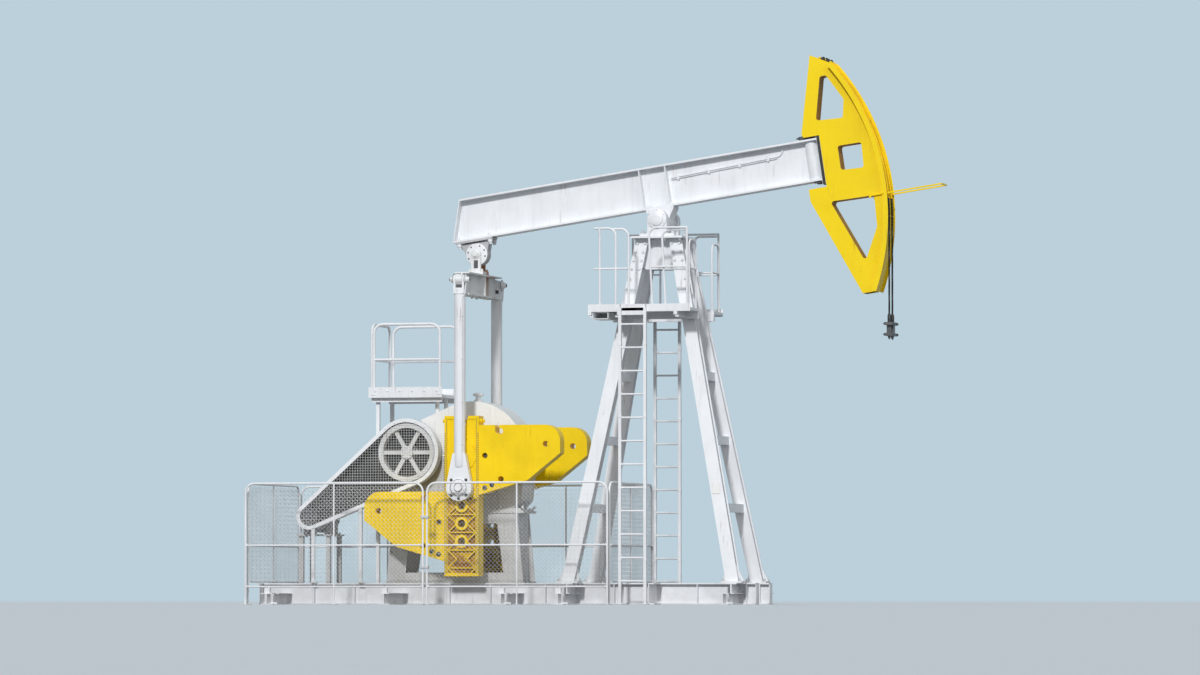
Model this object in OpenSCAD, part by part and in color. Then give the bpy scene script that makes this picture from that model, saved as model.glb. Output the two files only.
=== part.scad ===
// Walking-beam pumpjack with a cut-out horsehead, twin cranks and a mesh fence.
// +X points to the well side, +Y across the machine and +Z up. The ground is z = 0.

/* [Tower] */
// Height of the beam pivot above the ground
pivot_z = 5400; // [5300:10:5600]
// Distance of a leg foot from the tower centre, along the beam
leg_foot_x = 1180; // [1120:10:1240]
// Distance of a leg foot from the tower centre, across the beam
leg_foot_y = 720; // [680:10:760]
// Distance of a leg top from the tower centre, along the beam
leg_top_x = 235; // [220:5:260]
// Distance of a leg top from the tower centre, across the beam
leg_top_y = 200; // [190:5:220]
// Width of a leg flange
leg_flange = 180; // [160:5:190]
// Depth of a leg from flange to flange
leg_depth = 180; // [160:5:190]
// Thickness of a leg's web and flanges
leg_wall = 16; // [12:1:20]
// Thickness of a leg's foot plate
foot_plate_t = 25; // [18:1:35]
// Drop from the pivot to the top of the cap plate
cap_drop = 240; // [220:5:260]
// Thickness of the tower's cap plate
cap_t = 30; // [20:1:40]
// Half length of the cap plate along the beam
cap_half_x = 370; // [350:5:400]
// Half width of the cap plate across the beam
cap_half_y = 430; // [420:5:450]
// Height of the plates that box in the leg tops
box_h = 330; // [250:10:380]
// Thickness of the plates that box in the leg tops
box_t = 16; // [10:1:20]

/* [Base frame] */
// Height of the base frame's beams
base_h = 300; // [280:5:330]
// Flange width of the base frame's beams
base_flange = 160; // [140:5:180]
// Wall thickness of the base frame's beams
base_wall = 18; // [14:1:22]
// Half distance between the two long runners
runner_y = 400; // [380:5:410]
// Rear end of the runners
base_rear_x = -5810; // [-5850:10:-5800]
// Front end of the runners
base_front_x = 1450; // [1400:10:1500]
// Half distance between anchor holes across the frame
anchor_y = 1100; // [1060:10:1140]
// Radius of an anchor hole
anchor_r = 18; // [14:1:22]
// Thickness of an anchor lug
anchor_t = 30; // [20:1:40]

/* [Walking beam] */
// Angle of the beam above level in the rest pose
beam_tilt = 8.5; // [6:0.5:9]
// Depth of the beam
beam_h = 600; // [560:10:640]
// Width of the beam's flanges
beam_flange = 280; // [260:5:300]
// Thickness of the beam's flanges
beam_flange_t = 25; // [20:1:30]
// Thickness of the beam's web
beam_web_t = 18; // [14:1:24]
// Height of the beam's underside above the pivot
beam_under = 170; // [165:5:190]
// Length of the beam beyond the tail bearing, along its lower flange
tail_over = 310; // [280:10:340]
// Distance from the pivot to the tail bearing
tail_arm = 2750; // [2700:10:2780]
// Drop of the tail bearing below the pivot's level on the beam
tail_drop = 40; // [30:5:60]
// Thickness of the beam's stiffening plates
rib_t = 14; // [10:1:18]

/* [Bearings] */
// Radius of the pivot shaft
pivot_shaft_r = 70; // [60:1:80]
// Radius of a pivot bearing's housing
pivot_housing_r = 140; // [130:5:150]
// Inner face of a pivot bearing, from the centre plane
pivot_housing_in = 262; // [255:1:275]
// Outer face of a pivot bearing, from the centre plane
pivot_housing_out = 400; // [390:5:410]
// Half length of a pivot bearing's foot along the beam
pivot_foot_x = 250; // [240:5:260]
// Radius of the tail pin
tail_pin_r = 50; // [40:1:60]
// Radius of the tail bearing's housing
tail_housing_r = 160; // [150:2:170]
// Half length of the tail bearing's foot along the beam
tail_foot_x = 270; // [260:5:280]
// Half width of the tail bearing's housing
tail_housing_y = 90; // [80:5:100]
// Running clearance of a shaft in its bore
run_gap = 0.3; // [0.2:0.1:0.5]
// Side clearance between pieces that turn past each other
side_gap = 6; // [5:1:10]

/* [Horsehead] */
// Radius of the horsehead's face, from the pivot
head_r = 3250; // [3200:10:3300]
// Depth of the horsehead, from the beam's head end to the face
head_deep = 880; // [860:5:900]
// Half width of the horsehead's face
head_face_y = 240; // [220:5:260]
// Half distance over the horsehead's side plates
head_side_y = 140; // [130:5:150]
// Height of the horsehead's top above the pivot, along the head
head_top = 1931; // [1900:5:1950]
// Thickness of the horsehead's plates
head_t = 12; // [8:1:16]
// Height of the rims along the horsehead's face
head_rim = 28; // [20:1:35]
// Length of the guide bar that stands out from the horsehead's face
head_bar_len = 800; // [600:10:850]
// Half distance between the arms of the guide bar
head_bar_y = 175; // [160:5:190]
// Drop of the guide bar below the pivot's level on the beam
head_bar_z = 160; // [120:5:200]
// Angle of the horsehead's upper end above the beam line
head_top_angle = 33; // [32:0.5:34]
// Angle of the horsehead's lower end below the beam line
head_tip_angle = 27.2; // [26:0.1:28]
// Thickness of the joint plate between beam and horsehead
joint_plate_t = 48; // [40:1:55]

/* [Bridle] */
// Radius of a bridle rope
rope_r = 14; // [10:1:16]
// Half distance between the bridle ropes
rope_y = 100; // [80:5:120]
// Height of the carrier bar's centre above the ground
carrier_z = 3830; // [3600:10:4000]
// Radius of the rod hole in the carrier bar
rod_hole_r = 20; // [16:1:24]

/* [Cranks] */
// Height of the crankshaft above the ground
crankshaft_z = 2085; // [2080:5:2120]
// Radius of the crankshaft
crankshaft_r = 90; // [80:1:100]
// Radius of the wrist pin that is in use
wrist_r = 450; // [430:5:460]
// Distance between neighbouring wrist pin holes
wrist_step = 250; // [220:5:270]
// Number of wrist pin holes
wrist_count = 4; // [3:1:4]
// Radius of a wrist pin hole
wrist_hole_r = 55; // [45:1:65]
// Inner face of a crank, from the centre plane
crank_in = 600; // [595:5:610]
// Thickness of a crank
crank_t = 250; // [220:5:255]
// Half width of a crank arm
crank_half_w = 250; // [230:5:260]
// Length of a crank arm from the crankshaft to its tip
crank_tip = 1690; // [1650:5:1700]
// Length of a crank arm behind the crankshaft
crank_heel = 560; // [500:10:600]
// Width of the raised edges of a crank arm
crank_edge = 45; // [35:1:60]
// Depth of the recess between the raised edges
crank_recess = 60; // [40:5:75]
// Length of a counterweight away from the arm
weight_len = 1180; // [1100:10:1190]
// Height of a counterweight where it meets the arm
weight_root = 980; // [900:10:1000]
// Start of the inner counterweight, along the arm
weight_inner_at = -430; // [-450:10:-400]
// Start of the outer counterweight, along the arm
weight_outer_at = 500; // [450:10:510]

/* [Pitmans] */
// Distance of a pitman's axis from the centre plane
pitman_y = 940; // [930:5:950]
// Radius of a pitman tube
pitman_r = 80; // [70:1:82]
// Radius of the round end about a wrist pin
wrist_housing_r = 185; // [170:5:195]
// Thickness of the wrist bearing's housing
wrist_housing_t = 110; // [100:5:120]
// Drop from the tail pin to the top of the equalizer
equalizer_drop = 285; // [280:5:310]
// Half width of the fork's plates along the machine
fork_half = 70; // [64:1:80]
// Height of the equalizer
equalizer_h = 320; // [280:10:340]
// Width of the equalizer's flanges
equalizer_flange = 220; // [200:5:240]

/* [Gearbox and drive] */
// Radius of the gearbox's large dome
dome_r = 780; // [740:10:800]
// Radius of the gearbox's small dome
small_dome_r = 360; // [340:10:380]
// Half width of the gearbox
gearbox_y = 340; // [320:5:350]
// Distance from the crankshaft back to the sheave's shaft
sheave_back = 906; // [880:5:930]
// Height of the sheave's shaft above the crankshaft
sheave_up = 60; // [40:5:80]
// Radius of the sheave
sheave_r = 400; // [380:5:410]
// Radius of the sheave's shaft
sheave_shaft_r = 40; // [30:1:50]
// Radius of the motor pulley
pulley_r = 110; // [100:5:125]
// Distance from the sheave's shaft back to the motor's shaft
motor_back = 1430; // [1400:10:1450]
// Height of the sheave's shaft above the motor's shaft
motor_down = 900; // [850:10:950]
// Radius of the motor's body
motor_r = 210; // [190:5:225]
// Half length of the motor's body, across the machine
motor_half = 250; // [240:5:260]
// Half distance between the motor's feet, along the machine
motor_foot_x = 160; // [150:5:170]
// Half distance between the legs of the motor's stand, along the machine
stand_leg_x = 200; // [180:5:220]
// Thickness of the belts
belt_t = 14; // [10:1:18]
// Width of the belt run
belt_w = 110; // [100:5:120]
// Inner side of the belt run, from the centre plane
belt_in = 405; // [400:5:410]
// Clearance between the belts and the guard's rim
guard_gap = 56; // [45:1:60]
// Thickness of the guard's sheet
guard_t = 8; // [5:1:12]
// Underside of the gearbox above the ground
gearbox_under = 1320; // [1280:10:1350]

/* [Platforms] */
// Height of the upper platform's deck above the ground
deck_z = 4130; // [4100:10:4200]
// Rear edge of the upper platform
deck_rear = -850; // [-880:10:-820]
// Front edge of the upper platform
deck_front = 620; // [600:10:650]
// Half width of the upper platform
deck_half = 950; // [930:10:1000]
// Thickness of the deck
deck_t = 40; // [30:1:50]
// Height of the kick plates
kick_h = 110; // [90:5:130]
// Height of the handrails
rail_h = 1000; // [950:10:1050]
// Radius of a handrail pipe
rail_r = 20; // [16:1:22]
// Radius of a handrail's bend
rail_bend = 130; // [100:5:140]
// Distance between ladder rungs
rung_step = 325; // [280:5:340]
// Width of a ladder
ladder_w = 360; // [340:5:400]
// Middle of a ladder and of its opening, from the tower centre
ladder_x = -200; // [-215:5:-190]
// Height of the rear platform's deck above the ground
rear_deck_z = 2960; // [2930:10:3000]
// Distance from the crankshaft back to the rear platform
rear_deck_back = 390; // [370:10:420]
// Length of the rear platform
rear_deck_len = 1080; // [1000:10:1150]
// Half width of the rear platform
rear_deck_half = 500; // [470:5:520]
// Distance from the crankshaft back to the posts on the gearbox
deck_post_back = 540; // [520:10:560]
// Half distance between the posts on the gearbox
deck_post_y = 220; // [180:10:260]
// Half distance between the posts behind the gearbox
rear_post_y = 340; // [320:5:360]

/* [Fence] */
// Distance of the side fences from the centre plane
fence_y = 1300; // [1280:10:1350]
// Front end of the fence
fence_front = -480; // [-500:5:-460]
// Rear end of the fence
fence_rear = -5750; // [-5770:10:-5730]
// Height of the fence
fence_h = 1700; // [1600:10:1750]
// Height of the fence's middle rail
fence_mid = 830; // [800:10:860]
// Radius of a fence pipe
fence_r = 24; // [20:1:28]
// Radius of the bend at a fence panel's upper corners
fence_bend = 130; // [100:5:160]
// Spacing of the fence's wires
wire_step = 320; // [280:10:360]
// Thickness of a fence wire
wire_t = 8; // [6:1:10]

/* [Hidden] */
$fn = 48;

// Reach of a cutting block that must pass right through its neighbours
far = 9000;
// Clearance of a piece that seats on another
seat = 0.3;

// Length of the beam from the pivot to its tail end and to its head end
tail_len = tail_arm + tail_over;
nose_len = head_r - head_deep;

cap_top = pivot_z - cap_drop;
cap_under = cap_top - cap_t;
leg_low = base_h + foot_plate_t;

// Tail pin in the machine's frame, from the tilted beam
tail_x = -tail_arm * cos(beam_tilt) + tail_drop * sin(beam_tilt);
tail_z = pivot_z - tail_arm * sin(beam_tilt) - tail_drop * cos(beam_tilt);
crank_x = tail_x;
wrist_z = crankshaft_z - wrist_r;
crank_out = crank_in + crank_t;
sheave_x = crank_x - sheave_back;
sheave_z = crankshaft_z + sheave_up;
motor_x = sheave_x - motor_back;
motor_z = sheave_z - motor_down;
belt_mid = belt_in + belt_w / 2;

// Middle of a leg at height z, for the front leg on the far side
function leg_x(z) = leg_top_x + (leg_foot_x - leg_top_x) * (cap_under - z) / (cap_under - leg_low);
function leg_y(z) = leg_top_y + (leg_foot_y - leg_top_y) * (cap_under - z) / (cap_under - leg_low);

// Corner points with each side moved outward by d; the points run anticlockwise
function unit(v) = v / norm(v);
function side_normal(p, q) = let (d = unit(q - p)) [d[1], -d[0]];
function grown(points, d) = let (n = len(points)) [for (i = [0 : n - 1])
    let (a = side_normal(points[(i + n - 1) % n], points[i]), b = side_normal(points[i], points[(i + 1) % n]))
    points[i] + d * (a + b) / (1 + a * b)];

// Corner points with every corner rounded to radius r by arcs of several steps
function corner_arc(p, q, s, r, steps) = let (
    a = unit(p - q), b = unit(s - q), half = acos(a * b) / 2,
    centre = q + unit(a + b) * r / sin(half), start = q + a * r / tan(half) - centre,
    turn = (cross(a, b) > 0 ? -1 : 1) * (180 - 2 * half))
    [for (k = [0 : steps]) let (t = turn * k / steps)
        centre + [start[0] * cos(t) - start[1] * sin(t), start[0] * sin(t) + start[1] * cos(t)]];
function rounded(points, r, steps = 5) = let (n = len(points)) [for (i = [0 : n - 1])
    each corner_arc(points[(i + n - 1) % n], points[i], points[(i + 1) % n], r, steps)];

// Children are drawn upward from p towards q, with no twist about the line
module along(p, q) {
    d = q - p;
    turn = atan2(d[1], d[0]);
    translate(p) rotate([0, acos(d[2] / norm(d)), turn]) rotate([0, 0, -turn]) children();
}

// Children are drawn in a frame that tilts with the beam about the pivot
module on_beam() {
    translate([0, 0, pivot_z]) rotate([0, -beam_tilt, 0]) children();
}

// Children, drawn in the XY plane, stand in the XZ plane from y0 to y1
module upright(y0, y1) {
    translate([0, y1, 0]) rotate([90, 0, 0]) linear_extrude(y1 - y0) children();
}

module rod_y(r, y0, y1) {
    translate([0, y0, 0]) rotate([-90, 0, 0]) cylinder(r = r, h = y1 - y0);
}

module rod_x(r, x0, x1) {
    translate([x0, 0, 0]) rotate([0, 90, 0]) cylinder(r = r, h = x1 - x0);
}

module block(x0, x1, y0, y1, z0, z1) {
    translate([x0, y0, z0]) cube([x1 - x0, y1 - y0, z1 - z0]);
}

// Rolled section with its flanges facing up and down the page
module i_section(w, h, t) {
    for (s = [-1, 1]) translate([-w / 2, s > 0 ? h / 2 - t : -h / 2]) square([w, t]);
    translate([-t / 2, -h / 2]) square([t, h]);
}

// Rolled beam along X, on the ground side at z = 0
module beam_x(x0, x1, w, h, t) {
    translate([x0, 0, h / 2]) rotate([90, 0, 90]) linear_extrude(x1 - x0) i_section(w, h, t);
}

module beam_y(y0, y1, w, h, t) {
    rotate([0, 0, 90]) beam_x(y0, y1, w, h, t);
}

// One bent hoop of pipe: two posts, two bends and a top rail, in the XZ plane from x = 0
module hoop(w, h, r, bend, rail_at) {
    for (x = [0, w]) translate([x, 0, 0]) cylinder(r = r, h = h - bend);
    translate([bend, 0, h]) rotate([0, 90, 0]) cylinder(r = r, h = w - 2 * bend);
    translate([bend, 0, h - bend]) rotate([90, 0, 0]) rotate([0, 0, 90])
        rotate_extrude(angle = 90) translate([bend, 0]) circle(r = r);
    translate([w - bend, 0, h - bend]) rotate([90, 0, 0])
        rotate_extrude(angle = 90) translate([bend, 0]) circle(r = r);
    for (z = rail_at) translate([0, 0, z]) rotate([0, 90, 0]) cylinder(r = r * 0.8, h = w);
}

// Base frame: two runners, cross beams that carry the legs and fence, and anchor lugs

outrigger_h = 160;
outrigger_wall = 12;
cross_at = [-leg_foot_x, 0, leg_foot_x];
outrigger_at = [fence_rear + 330, -3700, -2000];
anchor_at = [-leg_foot_x, leg_foot_x, fence_rear + 330, -2000];

module base_frame() {
    color("whitesmoke") difference() {
        union() {
            for (s = [-1, 1]) translate([0, s * runner_y, 0])
                beam_x(base_rear_x, base_front_x, base_flange, base_h, base_wall);
            for (x = cross_at) translate([x, 0, 0])
                beam_y(-leg_foot_y - 150, leg_foot_y + 150, base_flange, base_h, base_wall);
            for (x = outrigger_at) translate([x, 0, 0])
                beam_y(-fence_y - 60, fence_y + 60, base_flange, outrigger_h, outrigger_wall);
            for (x = [-leg_foot_x, leg_foot_x]) translate([x, 0, 0])
                beam_y(-fence_y - 60, fence_y + 60, base_flange, outrigger_h, outrigger_wall);
            for (x = anchor_at, s = [-1, 1]) translate([x, s * anchor_y, 0])
                block(-100, 100, -80, 80, 0, anchor_t);
            for (x = concat(outrigger_at, [-leg_foot_x]), s = [-1, 1]) translate([x, s * fence_y, 0])
                block(-40, 40, -30, 30, outrigger_h - 5, panel_low - fence_r * 0.8 - seat);
        }
        for (x = anchor_at, s = [-1, 1]) translate([x, s * anchor_y, 0])
            block(-101, 101, -70, 70, anchor_t, 400);
        for (x = anchor_at, s = [-1, 1]) translate([x, s * anchor_y, -1])
            cylinder(r = anchor_r, h = anchor_t + 2);
    }
}

// Tower: four rolled legs on foot plates, ties between them and the boxed head

module leg_axis(sx, sy) {
    low = leg_low - 200;
    high = cap_under + 200;
    along([sx * leg_x(low), sy * leg_y(low), low], [sx * leg_x(high), sy * leg_y(high), high])
        linear_extrude(norm([leg_x(low) - leg_x(high), leg_y(low) - leg_y(high), high - low]))
            children();
}

module leg(sx, sy) {
    color("whitesmoke") union() {
        intersection() {
            block(-far, far, -far, far, leg_low, cap_under);
            leg_axis(sx, sy) i_section(leg_flange, leg_depth, leg_wall);
        }
        translate([sx * leg_foot_x, sy * leg_foot_y, base_h]) block(-150, 150, -140, 140, 0, foot_plate_t);
    }
}

module leg_front_near() {
    leg(1, -1);
}

module leg_front_far() {
    leg(1, 1);
}

module leg_rear_near() {
    leg(-1, -1);
}

module leg_rear_far() {
    leg(-1, 1);
}

// Full outline of all four legs with a seat's clearance, for cutting what meets them
module leg_cutters() {
    for (sx = [-1, 1], sy = [-1, 1]) leg_axis(sx, sy)
        square([leg_flange + 2 * seat, leg_depth + 2 * seat], center = true);
}

tie_at = [1350, 2300, 3200];
tie_h = 120;

module tower_ties() {
    color("whitesmoke") difference() {
        for (z = tie_at, sx = [-1, 1]) translate([sx * leg_x(z), 0, z])
            block(-50, 50, -leg_y(z), leg_y(z), -tie_h / 2, tie_h / 2);
        leg_cutters();
    }
}

module tower_head() {
    color("whitesmoke") difference() {
        union() {
            block(-cap_half_x, cap_half_x, -cap_half_y, cap_half_y, cap_under + seat, cap_top);
            difference() {
                block(-leg_top_x, leg_top_x, -leg_top_y, leg_top_y, cap_under - box_h, cap_under + 1);
                block(box_t - leg_top_x, leg_top_x - box_t, box_t - leg_top_y, leg_top_y - box_t,
                    cap_under - box_h - 1, cap_under - 20);
            }
        }
        intersection() {
            leg_cutters();
            block(-far, far, -far, far, 0, cap_under + seat);
        }
    }
}

// Pivot bearings: two pillow blocks with closed caps on the tower's cap plate

module pivot_bearing() {
    difference() {
        union() {
            rod_y(pivot_housing_r, pivot_housing_in, pivot_housing_out);
            rod_y(100, pivot_housing_in, pivot_housing_out + 22);
            block(-pivot_housing_r, pivot_housing_r, pivot_housing_in, pivot_housing_out - 10, -cap_drop, 0);
            block(-pivot_foot_x, pivot_foot_x, pivot_housing_in, pivot_housing_out, -cap_drop, 35 - cap_drop);
        }
        rod_y(pivot_shaft_r + run_gap, pivot_housing_in - 1, pivot_housing_out - 10);
    }
}

module pivot_bearings() {
    color("white") translate([0, 0, pivot_z]) {
        pivot_bearing();
        mirror([0, 1, 0]) pivot_bearing();
    }
}

// Upper platform: a U-shaped deck about the tower, its bearers, rails and ladders

bearer_h = 100;
bearer_z = deck_z - deck_t - bearer_h;

module platform_deck() {
    inner = leg_y(deck_z - deck_t - bearer_h / 2) + leg_depth / 2 - 4;
    hole_rear = -leg_x(deck_z) - leg_flange / 2 - 20;
    color("whitesmoke") difference() {
        union() {
            for (s = [-1, 1]) mirror([0, s < 0 ? 1 : 0, 0]) {
                block(deck_rear, deck_front, inner + 12, deck_half, deck_z - deck_t, deck_z);
                block(deck_rear, deck_front, deck_half - 8, deck_half, deck_z, deck_z + kick_h);
                block(deck_rear, deck_front, inner, inner + 80, bearer_z, deck_z - deck_t);
                for (x = [deck_rear, -leg_x(deck_z), leg_x(deck_z) - 50])
                    block(x, x + 50, inner + 80, deck_half, deck_z - deck_t - 60, deck_z - deck_t);
            }
            block(deck_rear, hole_rear, -inner - 12, inner + 12, deck_z - deck_t, deck_z);
            block(deck_rear, deck_rear + 8, -deck_half, deck_half, deck_z, deck_z + kick_h);
        }
        leg_cutters();
        for (s = [-1, 1]) translate([0, s * deck_half, 0])
            translate([ladder_x, 0, deck_z]) block(-ladder_w / 2, ladder_w / 2, -20, 20, 0, kick_h + 1);
    }
}

// Two hoops beside the ladder's opening on each long side, and one across each end
side_rails = [[deck_rear + 60, ladder_x - ladder_w / 2 - 30],
    [ladder_x + ladder_w / 2 + 30, deck_front - 40]];

module platform_rails() {
    color("whitesmoke") {
        for (s = [-1, 1], span = side_rails) translate([span[0], s * (deck_half - 40), deck_z])
            hoop(span[1] - span[0], rail_h, rail_r, rail_bend, [rail_h * 0.55]);
        for (x = [deck_rear + 30], s = [-1, 1]) translate([x, s * (deck_half - 90), deck_z])
            rotate([0, 0, -s * 90]) hoop(deck_half - 150, rail_h, rail_r, rail_bend, [rail_h * 0.55]);
        for (s = [-1, 1]) translate([deck_front - 40, s * (deck_half - 90), deck_z])
            rotate([0, 0, -s * 90]) hoop(deck_half - 560, rail_h, rail_r, rail_bend, [rail_h * 0.55]);
    }
}

module ladder() {
    for (s = [-1, 1]) translate([ladder_x + s * ladder_w / 2, deck_half, 0])
        block(-20, 20, 0, 50, 0, deck_z);
    for (z = [rung_step : rung_step : deck_z - 100]) translate([ladder_x, deck_half + 25, z])
        rod_x(14, -ladder_w / 2, ladder_w / 2);
}

module ladders() {
    color("whitesmoke") {
        ladder();
        mirror([0, 1, 0]) ladder();
    }
}

// Gearbox: stand, lower housing and domed cover, split at the crankshaft's level

stand_front = crank_x + dome_r - 60;
stand_rear = sheave_x - small_dome_r + 40;
stand_mid = (stand_rear + stand_front) / 2;

module gearbox_stand() {
    color("gainsboro") difference() {
        union() {
            block(stand_rear - 40, stand_front + 40, -gearbox_y, gearbox_y, base_h, base_h + 25);
            block(stand_rear - 40, stand_front + 40, -gearbox_y, gearbox_y,
                gearbox_under - 35, gearbox_under);
            for (s = [-1, 1]) translate([0, s * (gearbox_y - 30), 0])
                upright(-10, 10) polygon([[stand_rear - 30, base_h + 20], [stand_front + 30, base_h + 20],
                    [stand_front - 60, gearbox_under - 30], [stand_rear + 60, gearbox_under - 30]]);
            for (x = [stand_rear + 60, stand_mid, stand_front - 80])
                block(x, x + 20, -gearbox_y + 40, gearbox_y - 40, base_h + 20, gearbox_under - 30);
        }
        upright(-far, far) polygon([[stand_rear + 250, base_h + 150], [stand_mid - 130, base_h + 150],
            [stand_mid - 130, gearbox_under - 180], [stand_rear + 340, gearbox_under - 180]]);
        upright(-far, far) polygon([[stand_mid + 150, base_h + 150], [stand_front - 260, base_h + 150],
            [stand_front - 350, gearbox_under - 180], [stand_mid + 150, gearbox_under - 180]]);
    }
}

// Outline of two circles joined by their outer tangents, as seen along Y
module two_circles(ax, az, ar, bx, bz, br) {
    d = norm([bx - ax, bz - az]);
    dir = atan2(bz - az, bx - ax);
    lean = acos((ar - br) / d);
    translate([ax, az]) circle(r = ar, $fn = 72);
    translate([bx, bz]) circle(r = br, $fn = 72);
    polygon([for (c = [[ax, az, ar, lean], [ax, az, ar, -lean], [bx, bz, br, -lean], [bx, bz, br, lean]])
        [c[0] + c[2] * cos(dir + c[3]), c[1] + c[2] * sin(dir + c[3])]]);
}

shaft_boss_r = crankshaft_r + 100;

module gearbox_outline(d) {
    two_circles(crank_x, crankshaft_z, dome_r + d, sheave_x, sheave_z, small_dome_r + d);
}

module shaft_bores() {
    translate([crank_x, 0, crankshaft_z]) rod_y(crankshaft_r + run_gap, -far, far);
    translate([sheave_x, 0, sheave_z]) rod_y(sheave_shaft_r + run_gap, -far, far);
}

module gearbox_housing() {
    rear = sheave_x - small_dome_r;
    front = crank_x + dome_r;
    color("gainsboro") difference() {
        union() {
            upright(-gearbox_y + 20, gearbox_y - 20) polygon([[rear, crankshaft_z],
                [rear + 30, gearbox_under + 120], [rear + 110, gearbox_under], [front - 200, gearbox_under],
                [front - 60, gearbox_under + 150], [front, crankshaft_z]]);
            block(rear - 50, front + 50, -gearbox_y, gearbox_y, crankshaft_z - 40, crankshaft_z);
            block(rear + 60, front - 60, -gearbox_y, gearbox_y, gearbox_under, gearbox_under + 35);
            for (x = [crank_x - 420, crank_x + 400, sheave_x - 20], s = [-1, 1])
                translate([x, s * (gearbox_y - 10), 0])
                    block(-12, 12, -10, 10, gearbox_under + 30, crankshaft_z - 30);
            intersection() {
                for (s = [-1, 1]) translate([crank_x, s * (gearbox_y - 10), crankshaft_z])
                    rod_y(shaft_boss_r, -25, 25);
                block(-far, far, -far, far, 0, crankshaft_z);
            }
        }
        shaft_bores();
    }
}

module gearbox_cover() {
    rear = sheave_x - small_dome_r;
    front = crank_x + dome_r;
    color("white") difference() {
        union() {
            intersection() {
                upright(-gearbox_y + 20, gearbox_y - 20) gearbox_outline(0);
                block(-far, far, -far, far, crankshaft_z, far);
            }
            block(rear - 50, front + 50, -gearbox_y, gearbox_y, crankshaft_z, crankshaft_z + 40);
            intersection() {
                for (s = [-1, 1]) translate([crank_x, s * (gearbox_y - 10), crankshaft_z])
                    rod_y(shaft_boss_r, -25, 25);
                block(-far, far, -far, far, crankshaft_z, far);
            }
            translate([crank_x, 0, crankshaft_z + dome_r - 20]) cylinder(r = 60, h = 50);
            translate([crank_x, 0, crankshaft_z + dome_r + 25]) cylinder(r = 40, h = 60);
            for (s = [-1, 1])
                translate([crank_x - deck_post_back, s * deck_post_y, crankshaft_z + dome_r / 2])
                    cylinder(r = 30, h = rear_deck_z - deck_t - crankshaft_z - dome_r / 2);
        }
        shaft_bores();
    }
}

// Drive: motor on its stand, pulley, belts, sheave and the guard around them

motor_shaft_r = 26;
fin_step = 44;
fin_count = floor((2 * motor_half - 60) / fin_step);

module motor_stand() {
    top = motor_z - motor_r - 40;
    color("gainsboro") {
        for (sx = [-1, 1], sy = [-1, 1]) translate([motor_x + sx * stand_leg_x, sy * motor_half, 0])
            block(-30, 30, -30, 30, base_h, top - 20);
        translate([motor_x, 0, 0])
            block(-stand_leg_x - 60, stand_leg_x + 60, -motor_half - 80, motor_half + 80, top - 20, top);
    }
}

module motor() {
    color("lightgray") translate([motor_x, 0, motor_z]) difference() {
        union() {
            rod_y(motor_r, -motor_half, motor_half + 20);
            rod_y(motor_r - 25, motor_half + 20, motor_half + 80);
            for (k = [0 : fin_count - 1]) translate([0, 50 - motor_half + fin_step * k, 0])
                rod_y(motor_r + 12, 0, 12);
            for (sx = [-1, 1], sy = [-1, 1]) translate([sx * motor_foot_x, sy * (motor_half - 100), 0])
                block(-40, 40, -40, 40, -motor_r - 40, -60);
            block(-90, 90, -60, 120, motor_r - 20, motor_r + 90);
        }
        rod_y(motor_shaft_r, -motor_half - 10, 0);
    }
}

module motor_pulley() {
    color("dimgray") translate([motor_x, 0, motor_z]) {
        rod_y(pulley_r, -belt_in - belt_w, -belt_in);
        rod_y(pulley_r + 10, -belt_in - belt_w - 12, -belt_in - belt_w);
        rod_y(pulley_r + 10, -belt_in, -belt_in + 12);
        rod_y(motor_shaft_r - run_gap, -belt_in, -20);
    }
}

module sheave() {
    hub = 90;
    color("dimgray") translate([sheave_x, 0, sheave_z]) {
        difference() {
            union() {
                rod_y(sheave_r, -belt_in - belt_w, -belt_in);
                rod_y(sheave_r + 10, -belt_in - belt_w - 12, -belt_in - belt_w);
                rod_y(sheave_r + 10, -belt_in, -belt_in + 12);
            }
            rod_y(sheave_r - 55, -belt_in - belt_w - 20, -belt_in + 20);
        }
        rod_y(hub, -belt_in - belt_w, -belt_in);
        for (k = [0 : 5]) rotate([0, 60 * k, 0])
            block(hub - 20, sheave_r - 40, -belt_mid - 20, -belt_mid + 20, -28, 28);
        rod_y(sheave_shaft_r, -belt_in - belt_w, gearbox_y - 20);
    }
}

module belt_outline(d) {
    two_circles(sheave_x, sheave_z, sheave_r + d, motor_x, motor_z, pulley_r + d);
}

module drive_belts() {
    color("black") difference() {
        upright(-belt_in - belt_w + 4, -belt_in - 4) belt_outline(belt_t);
        upright(-far, far) belt_outline(seat);
    }
}

guard_in = belt_in - 20;
guard_out = belt_in + belt_w + 40;

// Height of the guard's lower edge at a place along the machine
function guard_underside(x, d) = let (
    reach = norm([motor_back, motor_down]),
    n = atan2(-motor_down, -motor_back) + acos((sheave_r - pulley_r) / reach))
    (sheave_x * cos(n) + sheave_z * sin(n) + sheave_r + d - x * cos(n)) / sin(n);

module belt_guard() {
    inner = belt_t + guard_gap;
    color("white") {
        difference() {
            upright(-guard_out, -guard_in) belt_outline(inner + guard_t);
            upright(-far, far) belt_outline(inner);
        }
        intersection() {
            upright(-guard_out, -guard_out + guard_t) belt_outline(inner + 1);
            union() {
                difference() {
                    upright(-far, far) belt_outline(inner + 1);
                    upright(-far, far) belt_outline(inner - 40);
                }
                for (k = [-2 : 5]) translate([sheave_x - 330 * k, 0, 0]) block(-12, 12, -far, far, 0, far);
                for (k = [-6 : 2]) translate([0, 0, sheave_z + 200 * k]) block(-far, far, -far, far, -8, 8);
            }
        }
        for (x = [motor_x + 60, motor_x + 760]) {
            block(x - 25, x + 25, -guard_out, -guard_out + 40, base_h, guard_underside(x, inner) + 25);
            block(x - 40, x + 40, -guard_out, -runner_y, base_h, base_h + 12);
        }
    }
}

// Rear platform over the gearbox, with its posts and rails

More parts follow.
